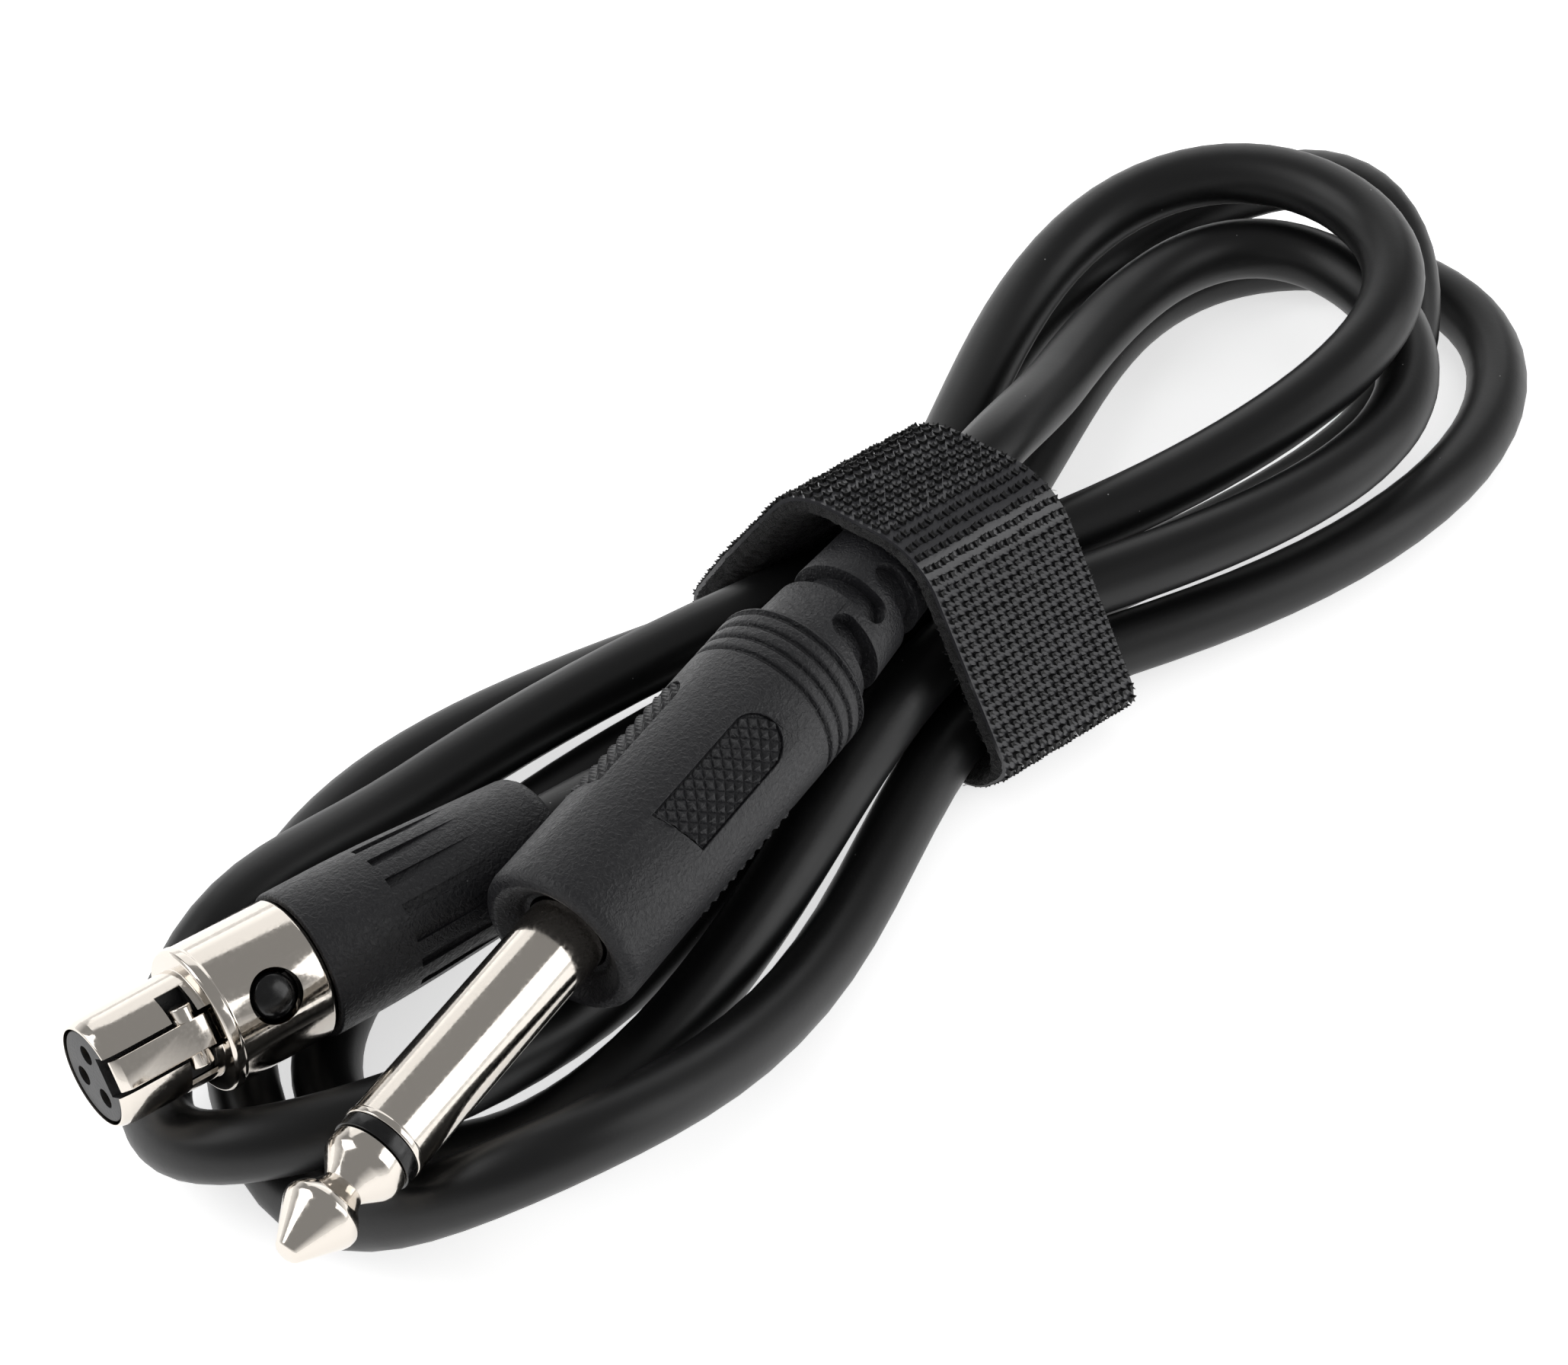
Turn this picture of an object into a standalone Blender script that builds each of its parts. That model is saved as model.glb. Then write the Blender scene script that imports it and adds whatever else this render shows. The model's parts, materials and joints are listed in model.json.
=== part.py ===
"""Instrument cable put up in a strapped hank: a small latching 3-contact socket on one end of
the cable, a moulded 6.35 mm tip-sleeve plug on the other.

Metres, +Z up. The hank lies along X on the plane Z = 0, the two connectors at the -X end.
Each connector is modelled along its own Z axis, which runs from its front towards its cable.
"""
import bmesh
import bpy
from math import cos, pi, radians, sin, tan
from mathutils import Matrix, Vector

# Clearances
fit_gap = 0.0002            # between fixed pieces of a connector
cord_gap = 0.0003           # round the cable, and at its ends
latch_gap = 0.0003          # beside the moving latch
pivot_gap = 0.00008         # latch bore on its pin

# Cable
cord_diameter = 0.0053
flat_depth = cord_diameter / 10     # how deep the underside is cut flat where the hank lies
points_per_bend = 24
wire_diameter = 0.001

# Hank: seven strands cross the waist in two rows, under the plug's strain relief
strand_pitch = 0.006
row_rise = 0.005            # from the lower row's strands to the upper row's
waist_ease = 0.0123         # run over which a strand leaves its place at the waist
waist_skew = -0.15          # slope at which all strands cross the waist
skew_fade = 0.03            # run over which that slope dies out
plug_entry_angle = 26.0     # where on its first bend the plug's cable joins the hank
lead_points = 6
tail_points = 8
tail_sag = 0.0036           # dip of the run up to the socket
tail_swing = 0.0006         # its sideways shift
wire_points = 9

# Strap
strap_width = 0.0135
strap_middle = -0.0015      # along X
strap_thickness = 0.0018
strap_pressed = 0.0009      # thickness under the hank, where it is pressed flat
strap_gap = 0.00025
strap_stations = 7
strap_directions = 64
strap_facets = 144
strap_least_facing = 0.01   # facets nearly edge-on to a ray are passed over
strap_press_fade = 0.5      # share of the half turn under the hank where the strap is thinned

# Plug: the origin of its axis is the middle of the sleeve's front edge
plug_place = (-0.06965, -0.0124, 0.0146)
plug_heading = 10.0
plug_rise = 1.5
plug_roll = 39.0            # grip pad from the vertical, towards -Y
sleeve_diameter = 0.00635
sleeve_wall = 0.0006
sleeve_length = 0.0205      # bare length in front of the body
sleeve_tail = 0.0063        # length inside the body
sleeve_lip = 0.00006
sleeve_lip_length = 0.0005
sleeve_flange_diameter = 0.0086
sleeve_flange_length = 0.0015
tip_length = 0.0105
tip_end_diameter = 0.0018
tip_cone_length = 0.0036
tip_ball_diameter = 0.0059
tip_ball_front_diameter = 0.0058
tip_ball_front_run = 0.0002
tip_ball_land = 0.0003
tip_ball_rear_diameter = 0.0055
tip_ball_rear_run = 0.0009
tip_neck_front_diameter = 0.0037
tip_neck_front_run = 0.0008
tip_neck_diameter = 0.0031
tip_neck_length = 0.0026
tip_neck_rear_diameter = 0.0035
tip_neck_rear_run = 0.0003
tip_rim_diameter = 0.006
tip_rim_length = 0.0011
tip_flare_diameter = 0.0054
tip_flare_run = 0.0005
insulator_length = 0.0012
insulator_diameter = 0.0062
rod_diameter = 0.002
rod_tail = 0.0105           # rod beyond the bare sleeve
bush_length = 0.0018
bush_diameter = 0.0068
tag_thickness = 0.0006
tag_width = 0.0024
tag_length = 0.0062
mould_wall = 0.0006
mould_end_wall = 0.0022
wire_hole_diameter = 0.0044
body_diameter = 0.0131
body_length = 0.0315
body_edge = 0.0012          # rounded front edge
body_rear_edge = 0.0006
body_front_wall = 0.0018
body_wall = 0.00125
body_rear_wall = 0.0018
recess_depth = 0.0015
recess_diameter = 0.0098
recess_taper = 0.0004
ring_groove_count = 4
ring_groove_pitch = 0.0014
ring_groove_width = 0.0006
ring_groove_floor = 0.00024
ring_groove_depth = 0.0004
ring_groove_first = 0.001   # last ring groove to the body's rear end
pad_count = 4
pad_start = 0.0095          # from the body's front end
pad_length = 0.013
pad_width = 0.0044
pad_slant = 0.0012
pad_depth = 0.00055
relief_length = 0.022
relief_diameter = 0.0106
relief_waist_diameter = 0.0089
relief_waist_at = 0.0135    # from the body's rear end
relief_end_diameter = 0.0086
slot_width = 0.0022
slot_floor_diameter = 0.0072
slot_half_angle = 108.0
slot_steps = 20
slot_places = (0.0027, 0.006, 0.0092)   # from the body's rear end, on alternate sides

# Socket: the origin of its axis is the middle of its front face
socket_place = (-0.0787, 0.00773, 0.0129)
socket_heading = -7.15
socket_rise = -3.82
socket_roll = 50.0          # latch from the vertical, towards -Y
nose_diameter = 0.0084
nose_wall = 0.00045
nose_length = 0.0083
nose_round = 0.0013
nose_round_depth = 0.00035
flange_diameter = 0.0112
flange_length = 0.001
flange_step = 0.0002
shell_diameter = 0.011
shell_length = 0.017
shell_wall = 0.0009
neck_diameter = 0.01
neck_length = 0.0055
insert_length = 0.0089
insert_setback = 0.0001
contact_count = 3
contact_circle = 0.0035
contact_first_angle = 74.0  # from the latch
contact_step_angle = 106.0
contact_hole_diameter = 0.0015
contact_diameter = 0.0011
contact_bore = 0.00066
contact_bore_depth = 0.0054
contact_setback = 0.0006
contact_length = 0.0129
button_at = 0.0128          # from the front face
button_hole_diameter = 0.0041
button_diameter = 0.0033
button_dome = 0.0007
button_proud = 0.0001
button_foot_length = 0.0052
button_foot_width = 0.002
button_foot_thickness = 0.00027
button_travel = 0.0004
latch_width = 0.0024
latch_bar_start = 0.0003
latch_bar_end = 0.0078
latch_bar_top = 0.0043      # from the socket's axis
latch_bar_thickness = 0.00085
latch_arm_top = 0.00375
latch_arm_thickness = 0.0006
latch_chamfer = 0.0006
latch_ear_at = 0.0066
latch_ear_diameter = 0.0017
latch_ear_reach = 0.0023
cross_slot_width = 0.0021
cross_slot_reach = 0.0034
pivot_behind = 0.0032       # pivot behind the shell's shoulder
pivot_drop = 0.0004         # pivot below the arm's top
pivot_eye_diameter = 0.0017
pin_diameter = 0.0007
leaf_thickness = 0.0002
leaf_width = 0.0016
leaf_length = 0.0074
leaf_flat = 0.0035
leaf_drop = 0.0009
clamp_wall = 0.00135
clamp_length = 0.0045
boot_diameter = 0.0116
boot_straight = 0.007
boot_end_diameter = 0.01
boot_length = 0.0218
boot_end_round = 0.0012
groove_count = 16
groove_width = 0.0008
groove_depth = 0.00045
groove_length = 0.01

cord_radius = cord_diameter / 2
lying_height = cord_radius - flat_depth
lower_row = strap_pressed + strap_gap + cord_radius
upper_row = lower_row + row_rise
relief_end = sleeve_length + body_length + relief_length
plug_cord_start = sleeve_length + body_length - body_rear_wall + cord_gap
boot_start = shell_length + fit_gap
boot_end = boot_start + boot_length
neck_end = shell_length + neck_length
pivot_at = shell_length + pivot_behind
socket_cord_start = neck_end + cord_gap

# Places at the waist: (y, z)
waist = {
    "relief": (0.0, plug_place[2] - plug_place[0] * tan(radians(plug_rise))),
    "upper left": (strand_pitch, upper_row),
    "upper middle": (0.0, upper_row),
    "upper right": (-strand_pitch, upper_row),
    "lower far left": (1.5 * strand_pitch, lower_row),
    "lower left": (0.5 * strand_pitch, lower_row),
    "lower right": (-0.5 * strand_pitch, lower_row),
    "lower far right": (-1.5 * strand_pitch, lower_row),
}

# Bends of the hank in the order the cable takes them, from the plug to the socket. Each leaves the
# waist at one place and comes back at another. reach: how far it goes along X; spread: how much it
# bulges; drift, sway: sideways shift of its end and of its limbs; lean: how far one limb outreaches
# the other; crest: height of its end; fall: how fast each limb comes off the waist's height; humps:
# how far it climbs over what lies under it, at which angle and over what half angle
bends = (
    {"side": 1, "places": ("relief", "upper right"),
     "reach": 0.0530, "spread": 0.0147, "drift": 0.0021, "lean": 0.0017, "sway": -0.0016,
     "crest": 0.0114, "fall": (4.0, 4.0)},
    {"side": -1, "places": ("upper right", "lower left"),
     "reach": 0.0644, "spread": 0.0110, "drift": -0.0017, "lean": 0.0024, "sway": -0.0067,
     "crest": lying_height, "fall": (1.9, 1.0)},
    {"side": 1, "places": ("lower left", "lower far right"),
     "reach": 0.0645, "spread": 0.0149, "drift": 0.0099, "lean": -0.0082, "sway": -0.0126,
     "crest": lying_height, "fall": (1.0, 1.0)},
    {"side": -1, "places": ("lower far right", "lower far left"),
     "reach": 0.0686, "spread": 0.0182, "drift": 0.0030, "lean": 0.0101, "sway": -0.0127,
     "crest": lying_height, "fall": (1.0, 1.0), "humps": ((0.0093, 50, 33),)},
    {"side": 1, "places": ("lower far left", "lower right"),
     "reach": 0.0629, "spread": 0.0146, "drift": 0.0012, "lean": 0.0021, "sway": 0.0094,
     "crest": lying_height, "fall": (1.0, 1.0), "humps": ((0.0095, 88, 45),)},
    {"side": -1, "places": ("lower right", "upper left"),
     "reach": 0.0749, "spread": 0.0109, "drift": 0.0037, "lean": 0.0043, "sway": -0.0062,
     "crest": 0.0046, "fall": (1.0, 1.6), "humps": ((0.0046, 61, 37), (0.0032, 122, 23))},
    {"side": 1, "places": ("upper left", "upper middle"),
     "reach": 0.0541, "spread": 0.0159, "drift": -0.0043, "lean": 0.0038, "sway": 0.0131,
     "crest": 0.0175, "fall": (1.1, 1.5)},
)


def clear_scene():
    for thing in list(bpy.data.objects):
        bpy.data.objects.remove(thing, do_unlink=True)


def new_collection(name):
    group = bpy.data.collections.new(name)
    bpy.context.scene.collection.children.link(group)
    return group


def new_material(name, colour, roughness, metallic=0.0):
    material = bpy.data.materials.new(name)
    material.use_nodes = True
    shader = material.node_tree.nodes["Principled BSDF"]
    shader.inputs["Base Color"].default_value = (*colour, 1.0)
    shader.inputs["Roughness"].default_value = roughness
    shader.inputs["Metallic"].default_value = metallic
    return material


clear_scene()
parts = new_collection("instrument_cable")
cutters = new_collection("cutters")
nickel = new_material("nickel_plate", (0.78, 0.76, 0.73), 0.18, 1.0)
brass = new_material("brass", (0.7, 0.55, 0.28), 0.3, 1.0)
copper = new_material("copper_wire", (0.72, 0.4, 0.26), 0.35, 1.0)
spring_steel = new_material("spring_steel", (0.55, 0.55, 0.56), 0.3, 1.0)
cord_pvc = new_material("cord_pvc", (0.03, 0.03, 0.032), 0.38)
soft_pvc = new_material("soft_pvc", (0.035, 0.035, 0.038), 0.55)
hard_plastic = new_material("hard_plastic", (0.03, 0.03, 0.03), 0.4)
button_plastic = new_material("button_plastic", (0.015, 0.015, 0.016), 0.12)
pale_mould = new_material("pale_mould", (0.7, 0.68, 0.62), 0.5)
strap_fabric = new_material("strap_fabric", (0.025, 0.024, 0.023), 0.9)


def new_empty(name, parent=None):
    empty = bpy.data.objects.new(name, None)
    parts.objects.link(empty)
    empty.parent = parent
    return empty


def aim(heading, rise):
    """Unit vector at a heading from +X towards +Y, rising by an angle."""
    level = cos(radians(rise))
    return Vector((level * cos(radians(heading)), level * sin(radians(heading)), sin(radians(rise))))


def axis_frame(place, axis, roll):
    """Matrix whose Z is the axis and whose X is the vertical, rolled towards -Y."""
    upright = Vector((0, 0, 1)) - axis * axis.z
    upright.normalize()
    beside = axis.cross(upright)
    facing = upright * cos(radians(roll)) + beside * sin(radians(roll))
    turn = Matrix((facing, axis.cross(facing), axis)).transposed()
    return Matrix.Translation(place) @ turn.to_4x4()


hank = new_empty("hank_frame")
plug_axis = aim(plug_heading, plug_rise)
socket_axis = aim(socket_heading, socket_rise)
plug = new_empty("plug_frame", hank)
plug.matrix_local = axis_frame(plug_place, plug_axis, plug_roll)
socket = new_empty("socket_frame", hank)
socket.matrix_local = axis_frame(socket_place, socket_axis, socket_roll)


def add_object(name, data, parent, material=None, place=None):
    """A part if it has a material, otherwise a cutter."""
    thing = bpy.data.objects.new(name, data)
    thing.parent = parent
    thing.matrix_local = place or Matrix()
    if material:
        parts.objects.link(thing)
        data.materials.append(material)
    else:
        cutters.objects.link(thing)
        thing.hide_render = True
        thing.display_type = "WIRE"
    return thing


def turned(name, profile, parent, material=None, place=None, steps=36, ring=False):
    """Turns a profile of (radius, z) round Z; a ring's profile closes on itself."""
    mesh = bpy.data.meshes.new(name)
    corners = [(radius, 0.0, z) for radius, z in profile]
    edges = [(i, i + 1) for i in range(len(corners) - 1)]
    if ring:
        edges.append((len(corners) - 1, 0))
    mesh.from_pydata(corners, edges, [])
    thing = add_object(name, mesh, parent, material, place)
    screw = thing.modifiers.new("turn", "SCREW")
    screw.axis = "Z"
    screw.angle = 2 * pi
    screw.steps = steps
    screw.render_steps = steps
    screw.use_merge_vertices = True
    screw.merge_threshold = 0.00001
    screw.use_smooth_shade = True
    return thing


def rod_profile(radius, start, end):
    return [(0, end), (radius, end), (radius, start), (0, start)]


def tube_profile(inner, outer, start, end):
    return [(inner, end), (outer, end), (outer, start), (inner, start)]


def arc_points(middle, radius, first, last, count, height=None):
    """Points on an arc in the plane of a profile or an outline; a height makes it part of an ellipse."""
    angles = [radians(first + (last - first) * i / count) for i in range(count + 1)]
    height = radius if height is None else height
    return [(middle[0] + radius * cos(angle), middle[1] + height * sin(angle)) for angle in angles]


def block(name, low, high, parent, material=None, place=None):
    mesh = bpy.data.meshes.new(name)
    shape = bmesh.new()
    size = [high[i] - low[i] for i in range(3)]
    middle = [(high[i] + low[i]) / 2 for i in range(3)]
    placed = Matrix.Translation(middle) @ Matrix.Diagonal((*size, 1.0))
    bmesh.ops.create_cube(shape, size=1.0, matrix=placed)
    shape.to_mesh(mesh)
    shape.free()
    return add_object(name, mesh, parent, material, place)


def as_mesh(thing):
    """Replaces a curve with the mesh that it makes, its caps welded."""
    graph = bpy.context.evaluated_depsgraph_get()
    mesh = bpy.data.meshes.new_from_object(thing.evaluated_get(graph))
    shape = bmesh.new()
    shape.from_mesh(mesh)
    bmesh.ops.remove_doubles(shape, verts=shape.verts, dist=0.000001)
    bmesh.ops.recalc_face_normals(shape, faces=shape.faces)
    shape.to_mesh(mesh)
    shape.free()
    name = thing.name
    parent = thing.parent
    place = thing.matrix_local.copy()
    material = thing.data.materials[0] if thing.data.materials else None
    curve = thing.data
    bpy.data.objects.remove(thing, do_unlink=True)
    bpy.data.curves.remove(curve)
    mesh.materials.clear()
    return add_object(name, mesh, parent, material, place)


def plate(name, outline, thickness, parent, material=None, place=None):
    """A flat outline in the plane of its own X and Y, with a thickness along its Z."""
    curve = bpy.data.curves.new(name, "CURVE")
    curve.dimensions = "2D"
    curve.fill_mode = "BOTH"
    curve.extrude = thickness / 2
    spline = curve.splines.new("POLY")
    spline.points.add(len(outline) - 1)
    for point, (x, y) in zip(spline.points, outline):
        point.co = (x, y, 0.0, 1.0)
    spline.use_cyclic_u = True
    return as_mesh(add_object(name, curve, parent, material, place))


def cord(name, points, diameter, parent, material, resolution=2):
    curve = bpy.data.curves.new(name, "CURVE")
    curve.dimensions = "3D"
    curve.bevel_depth = diameter / 2
    curve.bevel_resolution = resolution
    curve.use_fill_caps = True
    spline = curve.splines.new("POLY")
    spline.points.add(len(points) - 1)
    for point, place in zip(spline.points, points):
        point.co = (*place, 1.0)
    return add_object(name, curve, parent, material)


def combine(thing, other, operation):
    boolean = thing.modifiers.new(operation.lower(), "BOOLEAN")
    boolean.operation = operation
    boolean.solver = "EXACT"
    boolean.object = other


def cut(thing, *tools):
    for tool in tools:
        combine(thing, tool, "DIFFERENCE")


def join(thing, *extras):
    for extra in extras:
        combine(thing, extra, "UNION")


def side_view(along, out):
    """Plane for an outline drawn along Z and out along X, with its thickness along Y."""
    turn = Matrix(((0, 0, 1), (1, 0, 0), (0, 1, 0))).transposed()
    return Matrix.Translation((out, 0, along)) @ turn.to_4x4()


def crosswise(out, along):
    """Frame of a round piece that lies along Y."""
    return Matrix.Translation((out, 0, along)) @ Matrix.Rotation(-pi / 2, 4, "X")


# Plug, tip side
sleeve_radius = sleeve_diameter / 2
sleeve_bore = sleeve_radius - sleeve_wall
rod_radius = rod_diameter / 2
tube_radius = sleeve_bore - fit_gap
rod_end = sleeve_length + rod_tail
sleeve_end = sleeve_length + sleeve_tail


def make_plug_tip():
    rim_start = -insulator_length - tip_rim_length
    ball_at = -tip_length + tip_cone_length
    neck_at = ball_at + tip_neck_length
    rim = tip_rim_diameter / 2
    profile = [(0, rod_end), (rod_radius, rod_end), (rod_radius, -insulator_length)]
    profile += [(rim, -insulator_length), (rim, rim_start)]
    profile += [(tip_flare_diameter / 2, rim_start - tip_flare_run)]
    profile += [(tip_neck_rear_diameter / 2, neck_at + tip_neck_rear_run)]
    profile += [(tip_neck_diameter / 2, neck_at)]
    profile += [(tip_neck_front_diameter / 2, neck_at - tip_neck_front_run)]
    profile += [(tip_ball_rear_diameter / 2, ball_at + tip_ball_rear_run)]
    profile += [(tip_ball_diameter / 2, ball_at + tip_ball_land)]
    profile += [(tip_ball_front_diameter / 2, ball_at - tip_ball_front_run)]
    profile += [(tip_end_diameter / 2, -tip_length), (0, -tip_length)]
    return turned("plug_tip", profile, plug, nickel)


def make_tip_insulator():
    bore = rod_radius + fit_gap
    ring = insulator_diameter / 2
    profile = [(bore, sleeve_end - fit_gap), (tube_radius, sleeve_end - fit_gap), (tube_radius, -fit_gap)]
    profile += [(ring, -fit_gap), (ring, fit_gap - insulator_length), (bore, fit_gap - insulator_length)]
    return turned("tip_insulator", profile, plug, hard_plastic, ring=True)


def make_plug_sleeve():
    lip = sleeve_radius + sleeve_lip
    flange = sleeve_flange_diameter / 2
    flange_start = sleeve_end - sleeve_flange_length
    profile = [(sleeve_bore, sleeve_end), (flange, sleeve_end), (flange, flange_start)]
    profile += [(sleeve_radius, flange_start), (sleeve_radius, sleeve_lip_length), (lip, sleeve_lip_length)]
    profile += [(lip, 0), (sleeve_bore, 0)]
    return turned("plug_sleeve", profile, plug, nickel, ring=True)


def make_rear_bush():
    start = sleeve_end + fit_gap
    profile = tube_profile(rod_radius + fit_gap, bush_diameter / 2, start, start + bush_length)
    return turned("rear_bush", profile, plug, hard_plastic, ring=True)


tip_tag_start = rod_end + fit_gap
tip_tag_end = tip_tag_start + tag_length
sleeve_tag_start = sleeve_end + fit_gap
sleeve_tag_end = tip_tag_end
sleeve_tag_in = bush_diameter / 2 + fit_gap


def make_tags():
    half = tag_width / 2
    side = tag_thickness / 2
    block("tip_terminal", (-side, -half, tip_tag_start), (side, half, tip_tag_end), plug, brass)
    outer = -sleeve_tag_in - tag_thickness
    low = (outer, -half, sleeve_tag_start)
    block("sleeve_terminal", low, (-sleeve_tag_in, half, sleeve_tag_end), plug, brass)


body_radius = body_diameter / 2
body_end = sleeve_length + body_length
cavity_start = sleeve_length + recess_depth + body_front_wall
cavity_end = body_end - body_rear_wall
cavity_radius = body_radius - body_wall
mould_start = cavity_start + fit_gap
mould_end = cavity_end - fit_gap


def make_inner_mould():
    outer = cavity_radius - fit_gap
    inner = outer - mould_wall
    neck = sleeve_radius + fit_gap
    front = sleeve_end - sleeve_flange_length - fit_gap
    rear = mould_end - mould_end_wall
    hole = wire_hole_diameter / 2
    profile = [(hole, mould_end), (outer, mould_end), (outer, mould_start), (neck, mould_start)]
    profile += [(neck, front), (inner, front), (inner, rear), (hole, rear)]
    return turned("inner_mould", profile, plug, pale_mould, ring=True)


def groove_profile(middle):
    """A ring groove's three sides, from its rear to its front."""
    floor = body_radius - ring_groove_depth
    half = ring_groove_width / 2
    inner = ring_groove_floor / 2
    return [(body_radius, middle + half), (floor, middle + inner), (floor, middle - inner),
            (body_radius, middle - half)]


def pad_cutter(number):
    half = pad_width / 2
    start = sleeve_length + pad_start
    rear = start + pad_length - half
    outline = [(start + pad_slant, -half), (rear, -half)]
    outline += arc_points((rear, 0), half, -90, 90, 8)[1:-1]
    outline += [(rear, half), (start, half)]
    floor = body_radius - pad_depth
    reach = pad_width
    turn = Matrix.Rotation(2 * pi * number / pad_count, 4, "Z")
    plane = Matrix(((0, 0, 1), (0, 1, 0), (-1, 0, 0))).transposed().to_4x4()
    place = turn @ Matrix.Translation((floor + reach / 2, 0, 0)) @ plane
    return plate(f"pad_cut_{number}", outline, reach, plug, None, place)


def slot_cutter(number):
    """A slot part of the way round the strain relief, on alternate sides."""
    middle = body_end + slot_places[number]
    half = slot_width / 2
    profile = tube_profile(slot_floor_diameter / 2, body_radius, middle - half, middle + half)
    side = 90.0 if number % 2 == 0 else -90.0
    place = Matrix.Rotation(radians(side - slot_half_angle), 4, "Z")
    mesh = bpy.data.meshes.new("slot")
    shape = bmesh.new()
    corners = [shape.verts.new((radius, 0, z)) for radius, z in profile]
    face = shape.faces.new(corners)
    bmesh.ops.spin(shape, geom=[face], cent=(0, 0, 0), axis=(0, 0, 1), dvec=(0, 0, 0),
                   angle=radians(2 * slot_half_angle), steps=slot_steps, use_duplicate=False)
    bmesh.ops.recalc_face_normals(shape, faces=shape.faces)
    shape.to_mesh(mesh)
    shape.free()
    return add_object(f"slot_cut_{number}", mesh, plug, None, place)


def make_plug_body():
    bore = cord_radius + cord_gap
    neck = sleeve_radius + fit_gap
    profile = [(bore, relief_end), (relief_end_diameter / 2, relief_end)]
    profile += [(relief_waist_diameter / 2, body_end + relief_waist_at), (relief_diameter / 2, body_end)]
    profile += [(body_radius - body_rear_edge, body_end)]
    profile += [(body_radius, body_end - body_rear_edge)]
    for number in range(ring_groove_count):
        profile += groove_profile(body_end - ring_groove_first - number * ring_groove_pitch)
    corner = (body_radius - body_edge, sleeve_length + body_edge)
    profile += arc_points(corner, body_edge, 0, -90, 5)
    recess = recess_diameter / 2
    recess_end = sleeve_length + recess_depth
    profile += [(recess, sleeve_length), (recess - recess_taper, sleeve_length + recess_depth / 2)]
    profile += [(neck + recess_taper, recess_end), (neck, recess_end)]
    profile += [(neck, cavity_start), (cavity_radius, cavity_start)]
    profile += [(cavity_radius, cavity_end), (bore, cavity_end)]
    body = turned("plug_body", profile, plug, soft_pvc, steps=40, ring=True)
    cut(body, *[pad_cutter(number) for number in range(pad_count)])
    cut(body, *[slot_cutter(number) for number in range(len(slot_places))])
    return body


def make_plug_wires():
    """The cable's core to the tip's tag and its shield to the sleeve's tag."""
    end = plug_cord_start - cord_gap
    start = tip_tag_end + fit_gap
    core = [(0, 0, start), (0, 0, (start + end) / 2), (0, 0, end)]
    cord("plug_core", core, wire_diameter, plug, copper)
    tag = -sleeve_tag_in - tag_thickness / 2
    inner = -wire_diameter - cord_gap
    shield = []
    for i in range(wire_points):
        share = i / (wire_points - 1)
        ease = share * share * (3 - 2 * share)
        shield.append((tag + (inner - tag) * ease, 0, start + (end - start) * share))
    cord("plug_shield", shield, wire_diameter, plug, copper)


# Socket
nose_radius = nose_diameter / 2
nose_bore = nose_radius - nose_wall
shell_radius = shell_diameter / 2
shell_bore = shell_radius - shell_wall
step_end = nose_length + flange_length
arm_bottom = latch_arm_top - latch_arm_thickness
bar_bottom = latch_bar_top - latch_bar_thickness
pivot_out = latch_arm_top - pivot_drop
latch_turn = button_travel / (pivot_at - button_at)
bar_travel = (pivot_at - latch_bar_start) * latch_turn
ear_travel = (pivot_at - latch_ear_at) * latch_turn
ear_out = latch_bar_top - latch_ear_diameter / 2


def make_socket_shell():
    neck = neck_diameter / 2
    flange = flange_diameter / 2
    lip = nose_radius - nose_round_depth
    profile = [(shell_bore, neck_end), (neck, neck_end), (neck, shell_length), (shell_radius, shell_length)]
    profile += [(shell_radius, step_end), (flange, step_end - flange_step)]
    profile += [(flange, nose_length + flange_step)]
    profile += [(flange - flange_step, nose_length), (nose_radius, nose_length), (nose_radius, nose_round)]
    profile += arc_points((lip, nose_round), nose_round_depth, 0, -90, 3, nose_round)[1:]
    profile += [(nose_bore, 0)]
    profile += [(nose_bore, step_end), (shell_bore, step_end)]
    shell = turned("socket_shell", profile, socket, nickel, steps=40, ring=True)
    half = latch_width / 2 + latch_gap
    floor = nose_bore / 2
    over = shell_radius * 2
    under = latch_bar_top + latch_gap
    slot_end = nose_length - flange_step
    open_slot = block("latch_slot_cut", (floor, -half, -nose_round), (over, half, slot_end), socket)
    passage_end = step_end + flange_step
    passage = block("latch_passage_cut", (floor, -half, 0), (under, half, passage_end), socket)
    ear_half = cross_slot_width / 2
    crossing = block("cross_slot_cut", (floor, -cross_slot_reach, latch_ear_at - ear_half),
                     (over, cross_slot_reach, latch_ear_at + ear_half), socket)
    hole_place = Matrix.Translation((0, 0, button_at)) @ Matrix.Rotation(pi / 2, 4, "Y")
    hole_profile = rod_profile(button_hole_diameter / 2, shell_bore / 2, over)
    hole = turned("button_hole_cut", hole_profile, socket, None, hole_place, steps=24)
    cut(shell, open_slot, passage, crossing, hole)
    return shell


def contact_place(number):
    angle = radians(contact_first_angle + number * contact_step_angle)
    out = contact_circle / 2
    return Matrix.Translation((out * cos(angle), out * sin(angle), 0))


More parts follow.
